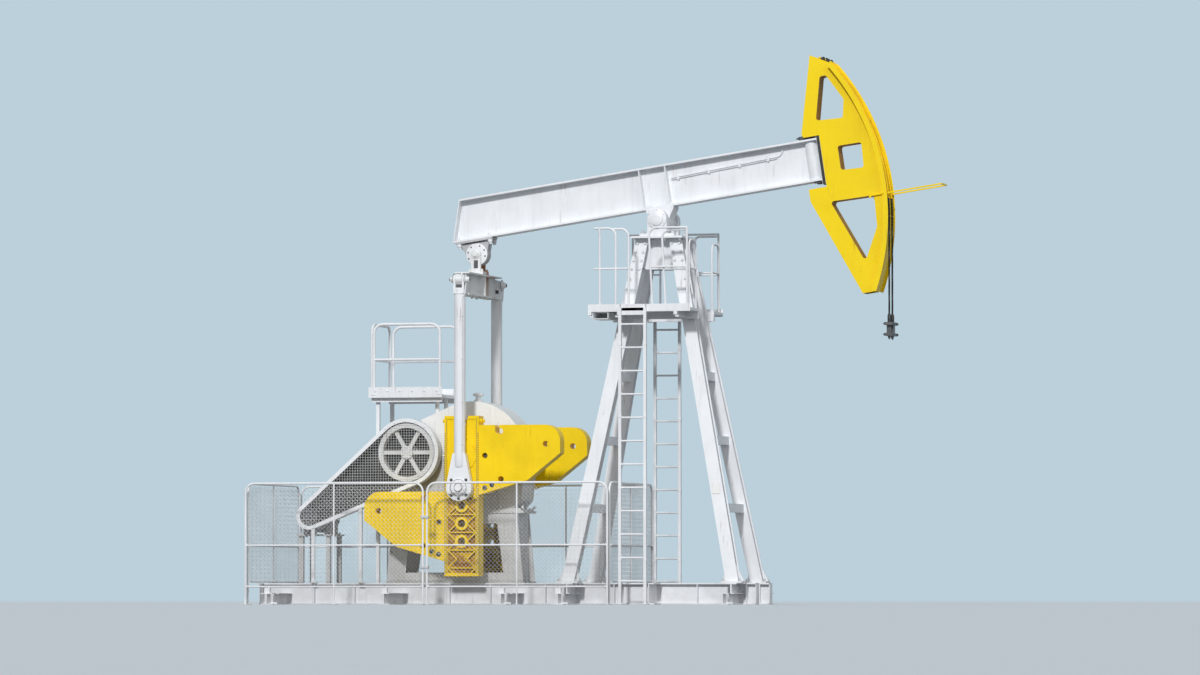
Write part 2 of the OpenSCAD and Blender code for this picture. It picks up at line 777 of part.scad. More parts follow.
rear_deck_front = crank_x - rear_deck_back;
rear_deck_rear = rear_deck_front - rear_deck_len;
rear_post_x = sheave_x - small_dome_r - 110;

module rear_deck() {
    color("whitesmoke") {
        block(rear_deck_rear, rear_deck_front, -rear_deck_half, rear_deck_half,
            rear_deck_z - deck_t, rear_deck_z);
        for (s = [-1, 1]) {
            translate([0, s * rear_deck_half, 0])
                block(rear_deck_rear, rear_deck_front, -4, 4, rear_deck_z - deck_t, rear_deck_z + kick_h);
            translate([rear_post_x, s * rear_post_y, 0])
                block(-25, 25, -25, 25, base_h, rear_deck_z - deck_t);
        }
        block(rear_deck_rear - 4, rear_deck_rear + 4, -rear_deck_half, rear_deck_half,
            rear_deck_z - deck_t, rear_deck_z + kick_h);
    }
}

module rear_rails() {
    color("whitesmoke") {
        for (s = [-1, 1]) translate([rear_deck_rear + 70, s * (rear_deck_half - 30), rear_deck_z])
            hoop(rear_deck_len - 110, rail_h, rail_r, rail_bend, [rail_h * 0.5]);
        translate([rear_deck_rear + 30, -rear_deck_half + 60, rear_deck_z]) rotate([0, 0, 90])
            hoop(2 * rear_deck_half - 120, rail_h, rail_r, rail_bend, [rail_h * 0.5]);
    }
}

// Fence: bent pipe panels filled with crossed wires

panel_low = 250;

module fence_panel(w, low) {
    hoop(w, fence_h, fence_r, fence_bend, [low, fence_mid]);
    translate([w / 2, 0, 0]) cylinder(r = fence_r * 0.8, h = fence_h);
    intersection() {
        union() {
            for (s = [-1, 1], k = [-ceil(fence_h / wire_step) : ceil(w / wire_step / 1.4)])
                translate([k * wire_step * 1.414 + (s < 0 ? fence_h : 0), 0, low]) rotate([0, s * 45, 0])
                    block(-wire_t / 2, wire_t / 2, -wire_t / 2, wire_t / 2, -400, fence_h * 1.6);
        }
        upright(-wire_t, wire_t) polygon([[0, low], [w, low], [w, fence_h - fence_bend],
            [w - fence_bend, fence_h], [fence_bend, fence_h], [0, fence_h - fence_bend]]);
    }
}

panel_gap = 60;
fence_half = (fence_front - fence_rear - panel_gap) / 2;
end_w = fence_y * 2 - 240;
end_low = base_h + fence_r * 0.8 + seat;

module fence_side() {
    for (k = [0, 1]) translate([fence_rear + k * (fence_half + panel_gap), -fence_y, 0])
        fence_panel(fence_half, panel_low);
}

module fence_near() {
    color("whitesmoke") fence_side();
}

module fence_far() {
    color("whitesmoke") mirror([0, 1, 0]) fence_side();
}

module fence_ends() {
    color("whitesmoke") for (x = [fence_rear, fence_front]) translate([x, -end_w / 2, 0])
        rotate([0, 0, 90]) fence_panel(end_w, end_low);
}

// Walking beam, its saddle and the tail bearing, drawn along the beam's own axes

module walking_beam() {
    low = beam_under;
    high = beam_under + beam_h;
    slope = 180;
    color("whitesmoke") on_beam() {
        upright(-beam_web_t / 2, beam_web_t / 2)
            polygon([[-tail_len, low], [nose_len, low], [nose_len, high], [slope - tail_len, high]]);
        block(-tail_len, nose_len, -beam_flange / 2, beam_flange / 2, low, low + beam_flange_t);
        block(slope - tail_len, nose_len, -beam_flange / 2, beam_flange / 2, high - beam_flange_t, high);
        upright(-beam_flange / 2, beam_flange / 2)
            polygon([[-tail_len, low], [rib_t - tail_len, low], [slope + rib_t - tail_len, high],
                [slope - tail_len, high]]);
        for (x = [-230, 150])
            block(x - rib_t / 2, x + rib_t / 2, -beam_flange / 2 + 6, beam_flange / 2 - 6, low + 5, high - 5);
        translate([nose_len - 110, 0, low + 5]) cylinder(r = 95, h = beam_h - 10);
        block(nose_len, nose_len + joint_plate_t, -head_side_y, head_side_y, joint_low, joint_high);
    }
}

module saddle() {
    hub = pivot_housing_in - side_gap;
    color("white") on_beam() {
        rod_y(115, -hub, hub);
        rod_y(pivot_shaft_r, -pivot_housing_out + 20, pivot_housing_out - 20);
        upright(-150, 150) polygon([[-115, 0], [115, 0], [200, beam_under - 30], [200, beam_under],
            [-200, beam_under], [-200, beam_under - 30]]);
    }
}

module tail_bearing() {
    color("white") on_beam() difference() {
        union() {
            translate([-tail_arm, 0, -tail_drop]) rod_y(tail_housing_r, -tail_housing_y, tail_housing_y);
            translate([-tail_arm, 0, 0]) upright(-tail_housing_y, tail_housing_y)
                polygon([[-tail_housing_r + 5, -tail_drop], [tail_housing_r - 5, -tail_drop],
                    [tail_foot_x - 50, beam_under - 15], [50 - tail_foot_x, beam_under - 15]]);
            block(-tail_arm - tail_foot_x, -tail_arm + tail_foot_x, -beam_flange / 2, beam_flange / 2,
                beam_under - 30, beam_under);
        }
        translate([-tail_arm, 0, -tail_drop]) rod_y(tail_pin_r + run_gap, -far, far);
    }
}

// Horsehead: two pierced side plates, their linings and the curved rope face

head_inner_r = head_r - head_t;
joint_low = beam_under - 60;
joint_high = beam_under + beam_h + 20;

// Corner points, with x from the beam's head end and z from the pivot's level, as shares of
// the head's depth and height
function on_head(points) = [for (p = points) [nose_len + p[0] * head_deep, p[1] * head_top]];
head_edge = on_head([[-0.238, -0.054], [0.433, -0.829], [1.4, -0.984], [1.4, 0.984], [0.602, 0.984],
    [0.093, 1], [-0.226, 0.44]]);
head_notch = [[nose_len - 180, joint_high + 10], [nose_len + joint_plate_t, joint_high + 10],
    [nose_len + joint_plate_t, joint_low - 40], [nose_len - 210, joint_low - 40]];
head_outline = concat(head_edge, head_notch);
top_hole = on_head([[0.202, 0.833], [0.037, 0.522], [0.476, 0.51], [0.533, 0.643], [0.303, 0.836]]);
middle_hole = on_head([[0.324, 0.315], [0.324, 0.138], [0.695, 0.129], [0.714, 0.313]]);
lower_hole = on_head([[0.076, -0.075], [0.499, -0.548], [0.769, -0.308], [0.793, -0.082]]);
holes = [top_hole, middle_hole, lower_hole];
hole_round = 35;

// The side plates end at the top along the upper edge and at the bottom along the tip
module head_zone() {
    tip = -head_r * sin(head_tip_angle) / head_top;
    polygon(on_head([[-0.53, tip], [1.4, tip], [1.4, 0.658], [0.401, 0.919], [0.093, 1], [-0.53, 1]]));
}

module head_disc() {
    circle(r = head_inner_r - seat, $fn = 180);
}

module head_profile() {
    intersection() {
        difference() {
            polygon(head_outline);
            for (h = holes) polygon(rounded(h, hole_round));
        }
        head_zone();
        head_disc();
    }
}

module head_side_near() {
    color("gold") on_beam() upright(-head_side_y, -head_side_y + head_t) head_profile();
}

module head_side_far() {
    color("gold") on_beam() upright(head_side_y - head_t, head_side_y) head_profile();
}

module head_lining() {
    half = head_side_y - head_t;
    color("goldenrod") on_beam() upright(-half, half) {
        for (h = holes) difference() {
            polygon(rounded(grown(h, head_t), hole_round + head_t));
            polygon(rounded(h, hole_round));
        }
        intersection() {
            difference() {
                polygon(head_outline);
                polygon(grown(head_outline, -head_t));
            }
            head_zone();
            head_disc();
        }
    }
}

// Profile of the rope face: a plate with a rim along each edge
module face_section() {
    translate([head_inner_r, -head_face_y]) square([head_t, 2 * head_face_y]);
    for (s = [-1, 1]) translate([head_inner_r - head_rim, s > 0 ? head_face_y - head_t : -head_face_y])
        square([2 * head_rim + head_t, head_t]);
}

module head_face() {
    color("gold") on_beam() rotate([90, 0, 0]) rotate([0, 0, -head_tip_angle])
        rotate_extrude(angle = head_tip_angle + head_top_angle, $fn = 180) face_section();
}

module head_bar() {
    root = sqrt(head_r * head_r - pow(head_bar_z - 10, 2)) + seat;
    color("gold") on_beam() {
        for (s = [-1, 1])
            block(root, head_r + head_bar_len, s * head_bar_y - 14, s * head_bar_y + 14,
                -head_bar_z - 10, 10 - head_bar_z);
        block(head_r + head_bar_len - 20, head_r + head_bar_len, -head_bar_y, head_bar_y,
            -head_bar_z - 10, 10 - head_bar_z);
    }
}

// Ropes: the lap on the horsehead's face and the hanging bridle with its carrier bar

rope_path_r = head_r + rope_r + seat;
rope_start = asin((rope_r + seat) / rope_path_r) - beam_tilt;

module head_ropes() {
    color("black") on_beam() for (s = [-1, 1]) rotate([90, 0, 0]) translate([0, 0, s * rope_y])
        rotate([0, 0, rope_start]) rotate_extrude(angle = head_top_angle - 2 - rope_start, $fn = 180)
            translate([rope_path_r, 0]) circle(r = rope_r, $fn = 16);
}

module bridle_ropes() {
    color("black") for (s = [-1, 1]) translate([rope_path_r, s * rope_y, 0]) {
        translate([0, 0, carrier_z + 95]) cylinder(r = rope_r, h = pivot_z - carrier_z - 95);
        translate([0, 0, pivot_z]) rod_y(rope_r, -rope_r, rope_r);
        translate([0, 0, carrier_z + 95]) cylinder(r = rope_r + 12, h = 120);
    }
}

module carrier_bar() {
    color("dimgray") translate([rope_path_r, 0, carrier_z]) difference() {
        union() {
            for (s = [-1, 1]) block(-60, 60, -170, 170, s * 75 - 20, s * 75 + 20);
            block(-45, 45, -70, 70, -80, 80);
        }
        translate([0, 0, -200]) cylinder(r = rod_hole_r, h = 400);
    }
}

// Equalizer and pitmans, which hang from the tail pin

equalizer_top = tail_z - equalizer_drop;
knuckle_z = equalizer_top - 110;
knuckle_r = 40;

module equalizer_beam() {
    reach = pitman_y - pitman_r - 20;
    color("whitesmoke") translate([tail_x, 0, 0]) difference() {
        union() {
            translate([0, 0, equalizer_top - equalizer_h])
                beam_y(-reach, reach, equalizer_flange, equalizer_h, 20);
            block(5 - equalizer_flange / 2, equalizer_flange / 2 - 5, -rib_t / 2, rib_t / 2,
                equalizer_top - equalizer_h + 10, equalizer_top - 10);
            for (s = [-1, 1]) translate([0, s * (reach + 45), knuckle_z]) block(-45, 45, -85, 85, -70, 70);
            for (s = [-1, 1]) translate([0, s * pitman_y, knuckle_z]) rod_x(70, -45, 45);
        }
        for (s = [-1, 1]) translate([0, s * pitman_y, knuckle_z]) rod_x(knuckle_r + run_gap, -200, 200);
    }
}

module equalizer_fork() {
    color("white") translate([tail_x, 0, tail_z]) {
        for (s = [-1, 1]) mirror([0, s < 0 ? 1 : 0, 0]) {
            rod_y(fork_half, tail_housing_y + side_gap, tail_housing_y + side_gap + 35);
            block(-fork_half, fork_half, tail_housing_y + side_gap, tail_housing_y + side_gap + 35,
                -equalizer_drop, 0);
        }
        rod_y(tail_pin_r, -tail_housing_y - side_gap - 60, tail_housing_y + side_gap + 60);
        block(-110, 110, -tail_housing_y - 60, tail_housing_y + 60, -equalizer_drop, -equalizer_drop + 40);
    }
}

// Pear-shaped end that carries the wrist bearing
module wrist_end() {
    r = wrist_housing_r;
    rise = 480;
    top = 90;
    lean = asin((r - top) / rise);
    circle(r = r, $fn = 72);
    polygon([[r * cos(lean), r * sin(lean)], [top, rise], [-top, rise], [-r * cos(lean), r * sin(lean)]]);
}

module pitman() {
    wrist_in = pitman_y - wrist_housing_t / 2;
    translate([tail_x, 0, 0]) {
        translate([0, pitman_y, wrist_z + 420]) cylinder(r = pitman_r, h = knuckle_z - 130 - wrist_z - 420);
        for (s = [-1, 1]) translate([0, pitman_y, knuckle_z]) {
            block(s * 63 - 15, s * 63 + 15, -65, 65, -170, 0);
            translate([s * 63, 0, 0]) rod_x(65, -15, 15);
        }
        translate([0, pitman_y, knuckle_z]) block(-78, 78, -70, 70, -200, -120);
        translate([0, pitman_y, knuckle_z]) rod_x(knuckle_r, -110, 110);
        translate([0, 0, wrist_z]) upright(wrist_in, wrist_in + wrist_housing_t) wrist_end();
        translate([0, 0, wrist_z]) rod_y(120, wrist_in, wrist_in + wrist_housing_t + 20);
        translate([0, 0, wrist_z]) rod_y(50, wrist_in, wrist_in + wrist_housing_t + 50);
        translate([0, 0, wrist_z]) rod_y(80, crank_out + side_gap, wrist_in + 10);
    }
}

module pitman_far() {
    color("whitesmoke") pitman();
}

module pitman_near() {
    color("whitesmoke") mirror([0, 1, 0]) pitman();
}

// Cranks and counterweights; the arm points down from the crankshaft in the rest pose

module crank_arm() {
    edge = crank_edge / 2;
    translate([crank_x, 0, crankshaft_z]) difference() {
        union() {
            block(-crank_half_w, crank_half_w, crank_in + crank_recess, crank_out - crank_recess,
                -crank_tip, crank_heel);
            for (s = [-1, 1]) translate([s * (crank_half_w - edge), 0, 0])
                block(-edge, edge, crank_in, crank_out, -crank_tip, crank_heel);
            block(-crank_half_w, crank_half_w, crank_in, crank_out, -crank_tip, crank_edge - crank_tip);
            block(-crank_half_w, crank_half_w, crank_in, crank_out, crank_heel - crank_edge, crank_heel);
            rod_y(210, crank_in, crank_out);
            for (k = [0 : wrist_count - 1]) translate([0, 0, -wrist_r - k * wrist_step])
                rod_y(95, crank_in, crank_out);
        }
        rod_y(crankshaft_r + seat, 0, far);
        for (k = [0 : wrist_count - 1]) translate([0, 0, -wrist_r - k * wrist_step])
            rod_y(wrist_hole_r, 0, far);
    }
}

module crank_far() {
    color("gold") crank_arm();
}

module crank_near() {
    color("gold") mirror([0, 1, 0]) crank_arm();
}

module crankshaft() {
    color("dimgray") translate([crank_x, 0, crankshaft_z]) rod_y(crankshaft_r, -crank_out + 8, crank_out - 8);
}

// Counterweight outline: x runs away from the arm and y towards the crankshaft
module weight_outline() {
    nose = 230;
    difference() {
        union() {
            polygon([[0, 0], [0, -weight_root], [0.6 * weight_len, 205 - weight_root],
                [weight_len, -400], [weight_len, -nose], [weight_len - nose, 0]]);
            translate([weight_len - nose, -nose]) circle(r = nose, $fn = 72);
        }
        for (p = [[310, -90], [weight_len - 210, -270], [320, 220 - weight_root]])
            translate(p) circle(r = 42);
    }
}

module weights() {
    inset = 12;
    translate([crank_x, 0, crankshaft_z]) {
        translate([crank_half_w, 0, -weight_inner_at])
            upright(crank_in + inset, crank_out - inset) weight_outline();
        translate([-crank_half_w, 0, -weight_outer_at]) mirror([1, 0, 0])
            upright(crank_in + inset, crank_out - inset) weight_outline();
    }
}

module weights_far() {
    color("gold") weights();
}

module weights_near() {
    color("gold") mirror([0, 1, 0]) weights();
}

base_frame();
leg_front_near();
leg_front_far();
leg_rear_near();
leg_rear_far();
tower_ties();
tower_head();
pivot_bearings();
platform_deck();
platform_rails();
ladders();
gearbox_stand();
gearbox_housing();
gearbox_cover();
motor_stand();
motor();
belt_guard();
drive_belts();
rear_deck();
rear_rails();
fence_near();
fence_far();
fence_ends();
walking_beam();
saddle();
head_side_near();
head_side_far();
head_lining();
head_face();
head_bar();
tail_bearing();
head_ropes();
equalizer_beam();
equalizer_fork();
pitman_near();
pitman_far();
crankshaft();
crank_near();
crank_far();
weights_near();
weights_far();
bridle_ropes();
carrier_bar();
sheave();
motor_pulley();
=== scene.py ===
"""Looks of the walking-beam pumpjack: finer pieces, materials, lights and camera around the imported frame."""

from math import acos, asin, atan2, cos, degrees, hypot, pi, radians, sin, sqrt

import bmesh
import bpy
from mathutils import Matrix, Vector

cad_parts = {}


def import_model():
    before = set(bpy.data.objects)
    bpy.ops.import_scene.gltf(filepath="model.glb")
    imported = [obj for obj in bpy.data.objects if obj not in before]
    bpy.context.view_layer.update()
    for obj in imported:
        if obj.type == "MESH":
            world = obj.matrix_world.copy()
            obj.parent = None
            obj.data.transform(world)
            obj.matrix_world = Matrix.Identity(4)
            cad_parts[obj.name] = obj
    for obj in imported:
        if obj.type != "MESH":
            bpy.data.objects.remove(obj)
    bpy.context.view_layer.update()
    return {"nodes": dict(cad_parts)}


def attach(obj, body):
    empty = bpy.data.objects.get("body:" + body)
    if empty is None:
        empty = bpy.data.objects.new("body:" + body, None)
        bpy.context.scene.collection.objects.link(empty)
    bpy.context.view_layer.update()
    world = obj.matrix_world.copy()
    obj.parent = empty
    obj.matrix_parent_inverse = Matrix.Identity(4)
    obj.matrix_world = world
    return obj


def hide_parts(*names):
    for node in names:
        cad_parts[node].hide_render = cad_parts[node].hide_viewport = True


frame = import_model()
nodes = frame["nodes"]

# Sizes of the frame, in metres
PIVOT_Z = 5.4
TILT = radians(8.5)
TAIL_ARM, TAIL_DROP = 2.75, 0.04
NOSE, JOINT_T = 2.37, 0.048
BEAM_LOW, BEAM_HIGH, FLANGE_T = 0.17, 0.77, 0.025
HEAD_R, HEAD_FACE, HEAD_SIDE, HEAD_T = 3.25, 0.24, 0.14, 0.012
TIP_ANGLE, TOP_ANGLE = radians(27.2), radians(33)
TAIL_X = -TAIL_ARM * cos(TILT) + TAIL_DROP * sin(TILT)
TAIL_Z = PIVOT_Z - TAIL_ARM * sin(TILT) - TAIL_DROP * cos(TILT)
FORK_TOP, KNUCKLE = -0.285, -0.395
SHAFT_Z = 2.085
WRIST_R, WRIST_STEP = 0.45, 0.25
WRIST_Z = SHAFT_Z - WRIST_R
CRANK_IN, CRANK_OUT, CRANK_HALF, CRANK_TIP, CRANK_HEEL = 0.6, 0.85, 0.25, 1.69, 0.56
PITMAN_Y, PITMAN_R = 0.94, 0.08
SHEAVE_X, SHEAVE_Z, SHEAVE_R = TAIL_X - 0.906, SHAFT_Z + 0.06, 0.4
BELT_BACK, BELT_DOWN = 1.43, 0.9
MOTOR_X, MOTOR_Z, PULLEY_R, MOTOR_R = SHEAVE_X - BELT_BACK, SHEAVE_Z - BELT_DOWN, 0.11, 0.21
BELT_IN, BELT_OUT = 0.405, 0.515
GUARD_IN, GUARD_OUT, GUARD_GAP, GUARD_T = 0.385, 0.555, 0.07, 0.008
GUARD_WIRE, GUARD_PITCH = 0.0017, 0.038
DOME_R, GEARBOX_UNDER = 0.78, 1.32
GEARBOX_REAR, GEARBOX_FRONT = SHEAVE_X - 0.36, TAIL_X + DOME_R
DECK_Z, DECK_REAR, DECK_FRONT, DECK_HALF, KICK_TOP = 4.13, -0.85, 0.62, 0.95, 4.182
REAR_Z, REAR_FRONT, REAR_BACK, REAR_HALF = 2.96, TAIL_X - 0.39, TAIL_X - 1.47, 0.5
LEG_LOW, LEG_HIGH, BASE_H, RUNG_STEP = 0.325, 5.13, 0.3, 0.325
LEG_FOOT, LEG_TOP, LEG_LEAN, FLANGE_FACE = (1.18, 0.72), (0.235, 0.2), 0.108, 0.0905
FENCE_Y, FENCE_FRONT, FENCE_REAR, FENCE_H = 1.3, -0.48, -5.75, 1.7
FENCE_R, FENCE_BEND, FENCE_MID, FENCE_SEAT = 0.015, 0.13, 0.83, 0.0195
FENCE_WIRE, FENCE_WEAVE, FENCE_PITCH = 0.0017, 0.0024, 0.03
ROPE_R, ROPE_Y, ROPE_GAP, CARRIER_Z = 0.014, 0.1, 0.0003, 3.83
ROPE_LINE = HEAD_R + ROPE_R + ROPE_GAP

# Bolts: width across the flats and height of the head
LEG_BOLT, FOOT_NUT, BEARING_NUT, CAP_NUT = (0.036, 0.022), (0.032, 0.024), (0.04, 0.03), (0.03, 0.022)
SMALL_BOLT, CLIP_BOLT, COVER_BOLT, SIDE_BOLT = (0.016, 0.009), (0.018, 0.01), (0.02, 0.012), (0.026, 0.016)
MOTOR_BOLT, LATCH_NUT, WEIGHT_BOLT = (0.028, 0.02), (0.034, 0.022), 0.045

BOTH = (-1, 1)
CORNERS = [(sx, sy) for sx in BOTH for sy in BOTH]
X_UP, Y_UP, Z_UP = Vector((1, 0, 0)), Vector((0, 1, 0)), Vector((0, 0, 1))


# Materials

def noise(tree, vector, scale, detail=4.0, rough=0.5):
    n = tree.nodes.new("ShaderNodeTexNoise")
    for key, number in (("Scale", scale), ("Detail", detail), ("Roughness", rough)):
        n.inputs[key].default_value = number
    tree.links.new(vector, n.inputs["Vector"])
    return n.outputs["Fac"]


def ranged(tree, value, low, high, to_low, to_high):
    n = tree.nodes.new("ShaderNodeMapRange")
    for key, number in (("From Min", low), ("From Max", high), ("To Min", to_low), ("To Max", to_high)):
        n.inputs[key].default_value = number
    tree.links.new(value, n.inputs["Value"])
    return n.outputs["Result"]


def mixed(tree, factor, a, b):
    n = tree.nodes.new("ShaderNodeMix")
    n.data_type = "RGBA"
    tree.links.new(factor, n.inputs["Factor"])
    for name, source in (("A", a), ("B", b)):
        pick = [s for s in n.inputs if s.name == name and s.type == "RGBA"][0]
        if isinstance(source, tuple):
            pick.default_value = (*source, 1)
        else:
            tree.links.new(source, pick)
    return [s for s in n.outputs if s.type == "RGBA"][0]


def maths(tree, kind, a, b):
    n = tree.nodes.new("ShaderNodeMath")
    n.operation = kind
    for socket, source in ((n.inputs[0], a), (n.inputs[1], b)):
        if isinstance(source, (int, float)):
            socket.default_value = source
        else:
            tree.links.new(source, socket)
    return n.outputs[0]


def stretched(tree, vector, scale):
    n = tree.nodes.new("ShaderNodeMapping")
    n.inputs["Scale"].default_value = scale
    tree.links.new(vector, n.inputs["Vector"])
    return n.outputs["Vector"]


def finish_of(name, colour, rough=0.45, metallic=0.0, tone=0.06, streak=0.25, rust=0.0, grime=0.3,
              grain=90.0, bump=0.05, cast=0.0, coat=0.0, dirt=(0.24, 0.2, 0.16), shine=0.5,
              pocket=False, run=False):
    """Paint or metal with uneven tone, run-down dirt, grime near the ground, rust spots and fine grain."""
    m = bpy.data.materials.new(name)
    m.use_nodes = True
    tree = m.node_tree
    n, link = tree.nodes, tree.links
    n.clear()
    out = n.new("ShaderNodeOutputMaterial")
    shader = n.new("ShaderNodeBsdfPrincipled")
    link.new(shader.outputs[0], out.inputs[0])
    shader.inputs["Metallic"].default_value = metallic
    shader.inputs["Coat Weight"].default_value = coat
    shader.inputs["Specular IOR Level"].default_value = shine
    shader.inputs["Coat Roughness"].default_value = 0.25
    place = n.new("ShaderNodeTexCoord").outputs["Object"]
    dark = tuple(c * (1 - tone) for c in colour)
    light = tuple(min(1.0, c * (1 + tone * 0.6)) for c in colour)
    body = mixed(tree, ranged(tree, noise(tree, place, 2.3, 6), 0.35, 0.65, 0, 1), dark, light)
    runs = noise(tree, stretched(tree, place, (9, 9, 0.9)), 1.6, 7, 0.6)
    blotch = noise(tree, place, 5.5, 8, 0.62)
    axes = n.new("ShaderNodeSeparateXYZ")
    link.new(place, axes.inputs[0])
    low = ranged(tree, axes.outputs["Z"], 0.0, 1.1, grime, 0.0)
    low = maths(tree, "MULTIPLY", low, ranged(tree, blotch, 0.38, 0.6, 0.3, 1.0))
    soil_and_pocket_shade = maths(tree, "MAXIMUM", ranged(tree, runs, 0.5, 0.78, 0.0, streak), low)
    # With pocket set, the crank arms' pockets are darkened towards the dirt colour, as old grease and painted
    # shade.
    if pocket:
        soil_and_pocket_shade = maths(tree, "MAXIMUM", soil_and_pocket_shade, crank_pocket_grease_and_shade(tree, axes, blotch))
    body = mixed(tree, soil_and_pocket_shade, body, dirt)
    if run:
        body = mixed(tree, rust_run(tree, axes), body, (0.34, 0.13, 0.035))
    roughness = ranged(tree, blotch, 0.3, 0.7, max(0.05, rough - 0.09), rough + 0.11)
    if rust > 0:
        spots = ranged(tree, blotch, 0.71 - 0.2 * rust, 0.75 - 0.17 * rust, 0.0, 0.9)
        trails = ranged(tree, noise(tree, stretched(tree, place, (14, 14, 1.1)), 1.3, 6, 0.6),
                        0.63 - 0.12 * rust, 0.8 - 0.12 * rust, 0.0, 0.55)
        worn = maths(tree, "MAXIMUM", spots, trails)
        tint = mixed(tree, ranged(tree, noise(tree, place, 30, 5), 0.35, 0.65, 0, 1),
                     (0.10, 0.035, 0.012), (0.30, 0.12, 0.035))
        body = mixed(tree, worn, body, tint)
        roughness = maths(tree, "MAXIMUM", roughness, maths(tree, "MULTIPLY", worn, 0.8))
    link.new(body, shader.inputs["Base Color"])
    link.new(roughness, shader.inputs["Roughness"])
    fine = ranged(tree, noise(tree, place, grain, 4, 0.55), 0, 1, 0, bump)
    if cast > 0:
        coarse = ranged(tree, noise(tree, place, 22, 5, 0.6), 0, 1, 0, cast)
    else:
        coarse = ranged(tree, noise(tree, place, 6, 3), 0, 1, 0, bump * 2)
    relief = n.new("ShaderNodeBump")
    relief.inputs["Strength"].default_value = 0.6
    relief.inputs["Distance"].default_value = 0.02
    link.new(maths(tree, "ADD", fine, coarse), relief.inputs["Height"])
    link.new(relief.outputs[0], shader.inputs["Normal"])
    return m


def rust_run(tree, axes):
    """Share of rust that runs down the equalizer's fork, and down its web beside the middle rib."""
    middle = ranged(tree, axes.outputs["Z"], TAIL_Z - 0.3, TAIL_Z - 0.285, 0.42, 0.1)
    off = maths(tree, "ABSOLUTE", maths(tree, "SUBTRACT", axes.outputs["Y"], middle), 0)
    fade = ranged(tree, axes.outputs["Z"], TAIL_Z - 0.62, TAIL_Z - 0.3, 0.4, 0.95)
    return maths(tree, "MULTIPLY", ranged(tree, off, 0.11, 0.03, 0, 1), fade)


def crank_pocket_grease_and_shade(tree, axes, blotch):
    """Share of old grease and painted shade that darkens the pockets of the crank arms."""
    depth = maths(tree, "ABSOLUTE", axes.outputs["Y"], 0)
    off = maths(tree, "ABSOLUTE", maths(tree, "SUBTRACT", axes.outputs["X"], TAIL_X), 0)
    inside = maths(tree, "MULTIPLY", ranged(tree, depth, 0.83, 0.80, 0, 1),
                   ranged(tree, depth, 0.62, 0.65, 0, 1))
    inside = maths(tree, "MULTIPLY", inside, ranged(tree, off, 0.235, 0.2, 0, 1))
    return maths(tree, "MULTIPLY", inside, ranged(tree, blotch, 0.36, 0.58, 0.35, 0.95))


WHITE = finish_of("white_paint", (0.83, 0.85, 0.88), 0.42, tone=0.05, streak=0.14, rust=0.03, grime=0.22,
                  coat=0.1)
WORN = finish_of("worn_white_paint", (0.78, 0.79, 0.79), 0.5, tone=0.07, streak=0.35, rust=0.3, grime=0.2,
                 run=True)
COVER = finish_of("gearbox_white_paint", (0.85, 0.85, 0.84), 0.36, tone=0.04, streak=0.05, rust=0.03,
                  grime=0.15, coat=0.15)
GREY = finish_of("grey_paint", (0.56, 0.57, 0.58), 0.5, tone=0.1, streak=0.4, rust=0.12, grime=0.5, cast=0.1)
PALE = finish_of("pale_grey_paint", (0.70, 0.70, 0.70), tone=0.08, streak=0.35, rust=0.08, cast=0.08)
YELLOW = finish_of("yellow_paint", (0.95, 0.69, 0.002), 0.42, tone=0.04, streak=0.06, rust=0.02, grime=0.1,
                   coat=0.05, dirt=(0.5, 0.28, 0.01), shine=0.25)
CAST_LOOK = {"tone": 0.08, "streak": 0.1, "rust": 0.05, "grime": 0.2, "cast": 0.2, "coat": 0.05,
             "shine": 0.25}
CAST = finish_of("cast_yellow_paint", (0.95, 0.66, 0.002), dirt=(0.45, 0.22, 0.01), **CAST_LOOK)
# The crank's dark orange dirt colour also fills its pockets, as old grease and painted shade.
CRANK = finish_of("crank_yellow_paint", (0.95, 0.66, 0.002), dirt=(0.30, 0.13, 0.01), pocket=True,
                  **CAST_LOOK)
GALVANISED = finish_of("fence_wire", (0.86, 0.87, 0.88), 0.5, tone=0.1, streak=0.1, rust=0.1)
# Dark steel for real parts, and also for dark blocks and rings that are painted shade at the tail bearing and
# the pitmans.
DARK_STEEL_AND_SHADE = finish_of("dark_steel", (0.10, 0.10, 0.105), 0.42, metallic=0.8, tone=0.15, streak=0.3, rust=0.25)
BOLT = finish_of("bolt_steel", (0.62, 0.63, 0.65), 0.4, metallic=0.35, tone=0.12, rust=0.18)
ROPE = finish_of("wire_rope", (0.03, 0.029, 0.028), 0.38, metallic=0.5, tone=0.3, streak=0.1, rust=0.12,
                 grime=0, grain=400)
PAINTED_ROPE = finish_of("painted_rope", (0.95, 0.62, 0.003), 0.5, tone=0.15, streak=0.1, rust=0.1, grime=0,
                         grain=400, dirt=(0.35, 0.17, 0.01), shine=0.3)
# Yellow paint darkened to brown as painted shade, for the linings inside the head's openings.
SHADED = finish_of("painted_shade_yellow_paint", (0.50, 0.25, 0.004), 0.6, tone=0.2, streak=0.3, rust=0.15,
                   dirt=(0.10, 0.05, 0.01), shine=0.2)
RUBBER = finish_of("belt_rubber", (0.022, 0.022, 0.023), 0.62, tone=0.2, streak=0.2, grime=0.2, grain=300)
# White paint darkened to grey as painted shade on the tail bearing's housing, with real streaks and rust on
# it.
PAINTED_SHADE_WHITE = finish_of("painted_shade_white_paint", (0.50, 0.51, 0.53), 0.55, tone=0.1, streak=0.35, rust=0.2, cast=0.1)
# Black for seals and joint pads, and for the belt guard's inner back sheet, which is painted shade.
SEAL_AND_SHADE_BLACK = finish_of("black_seal_and_painted_shade", (0.018, 0.017, 0.016), 0.35, tone=0.3, streak=0.2, grime=0)

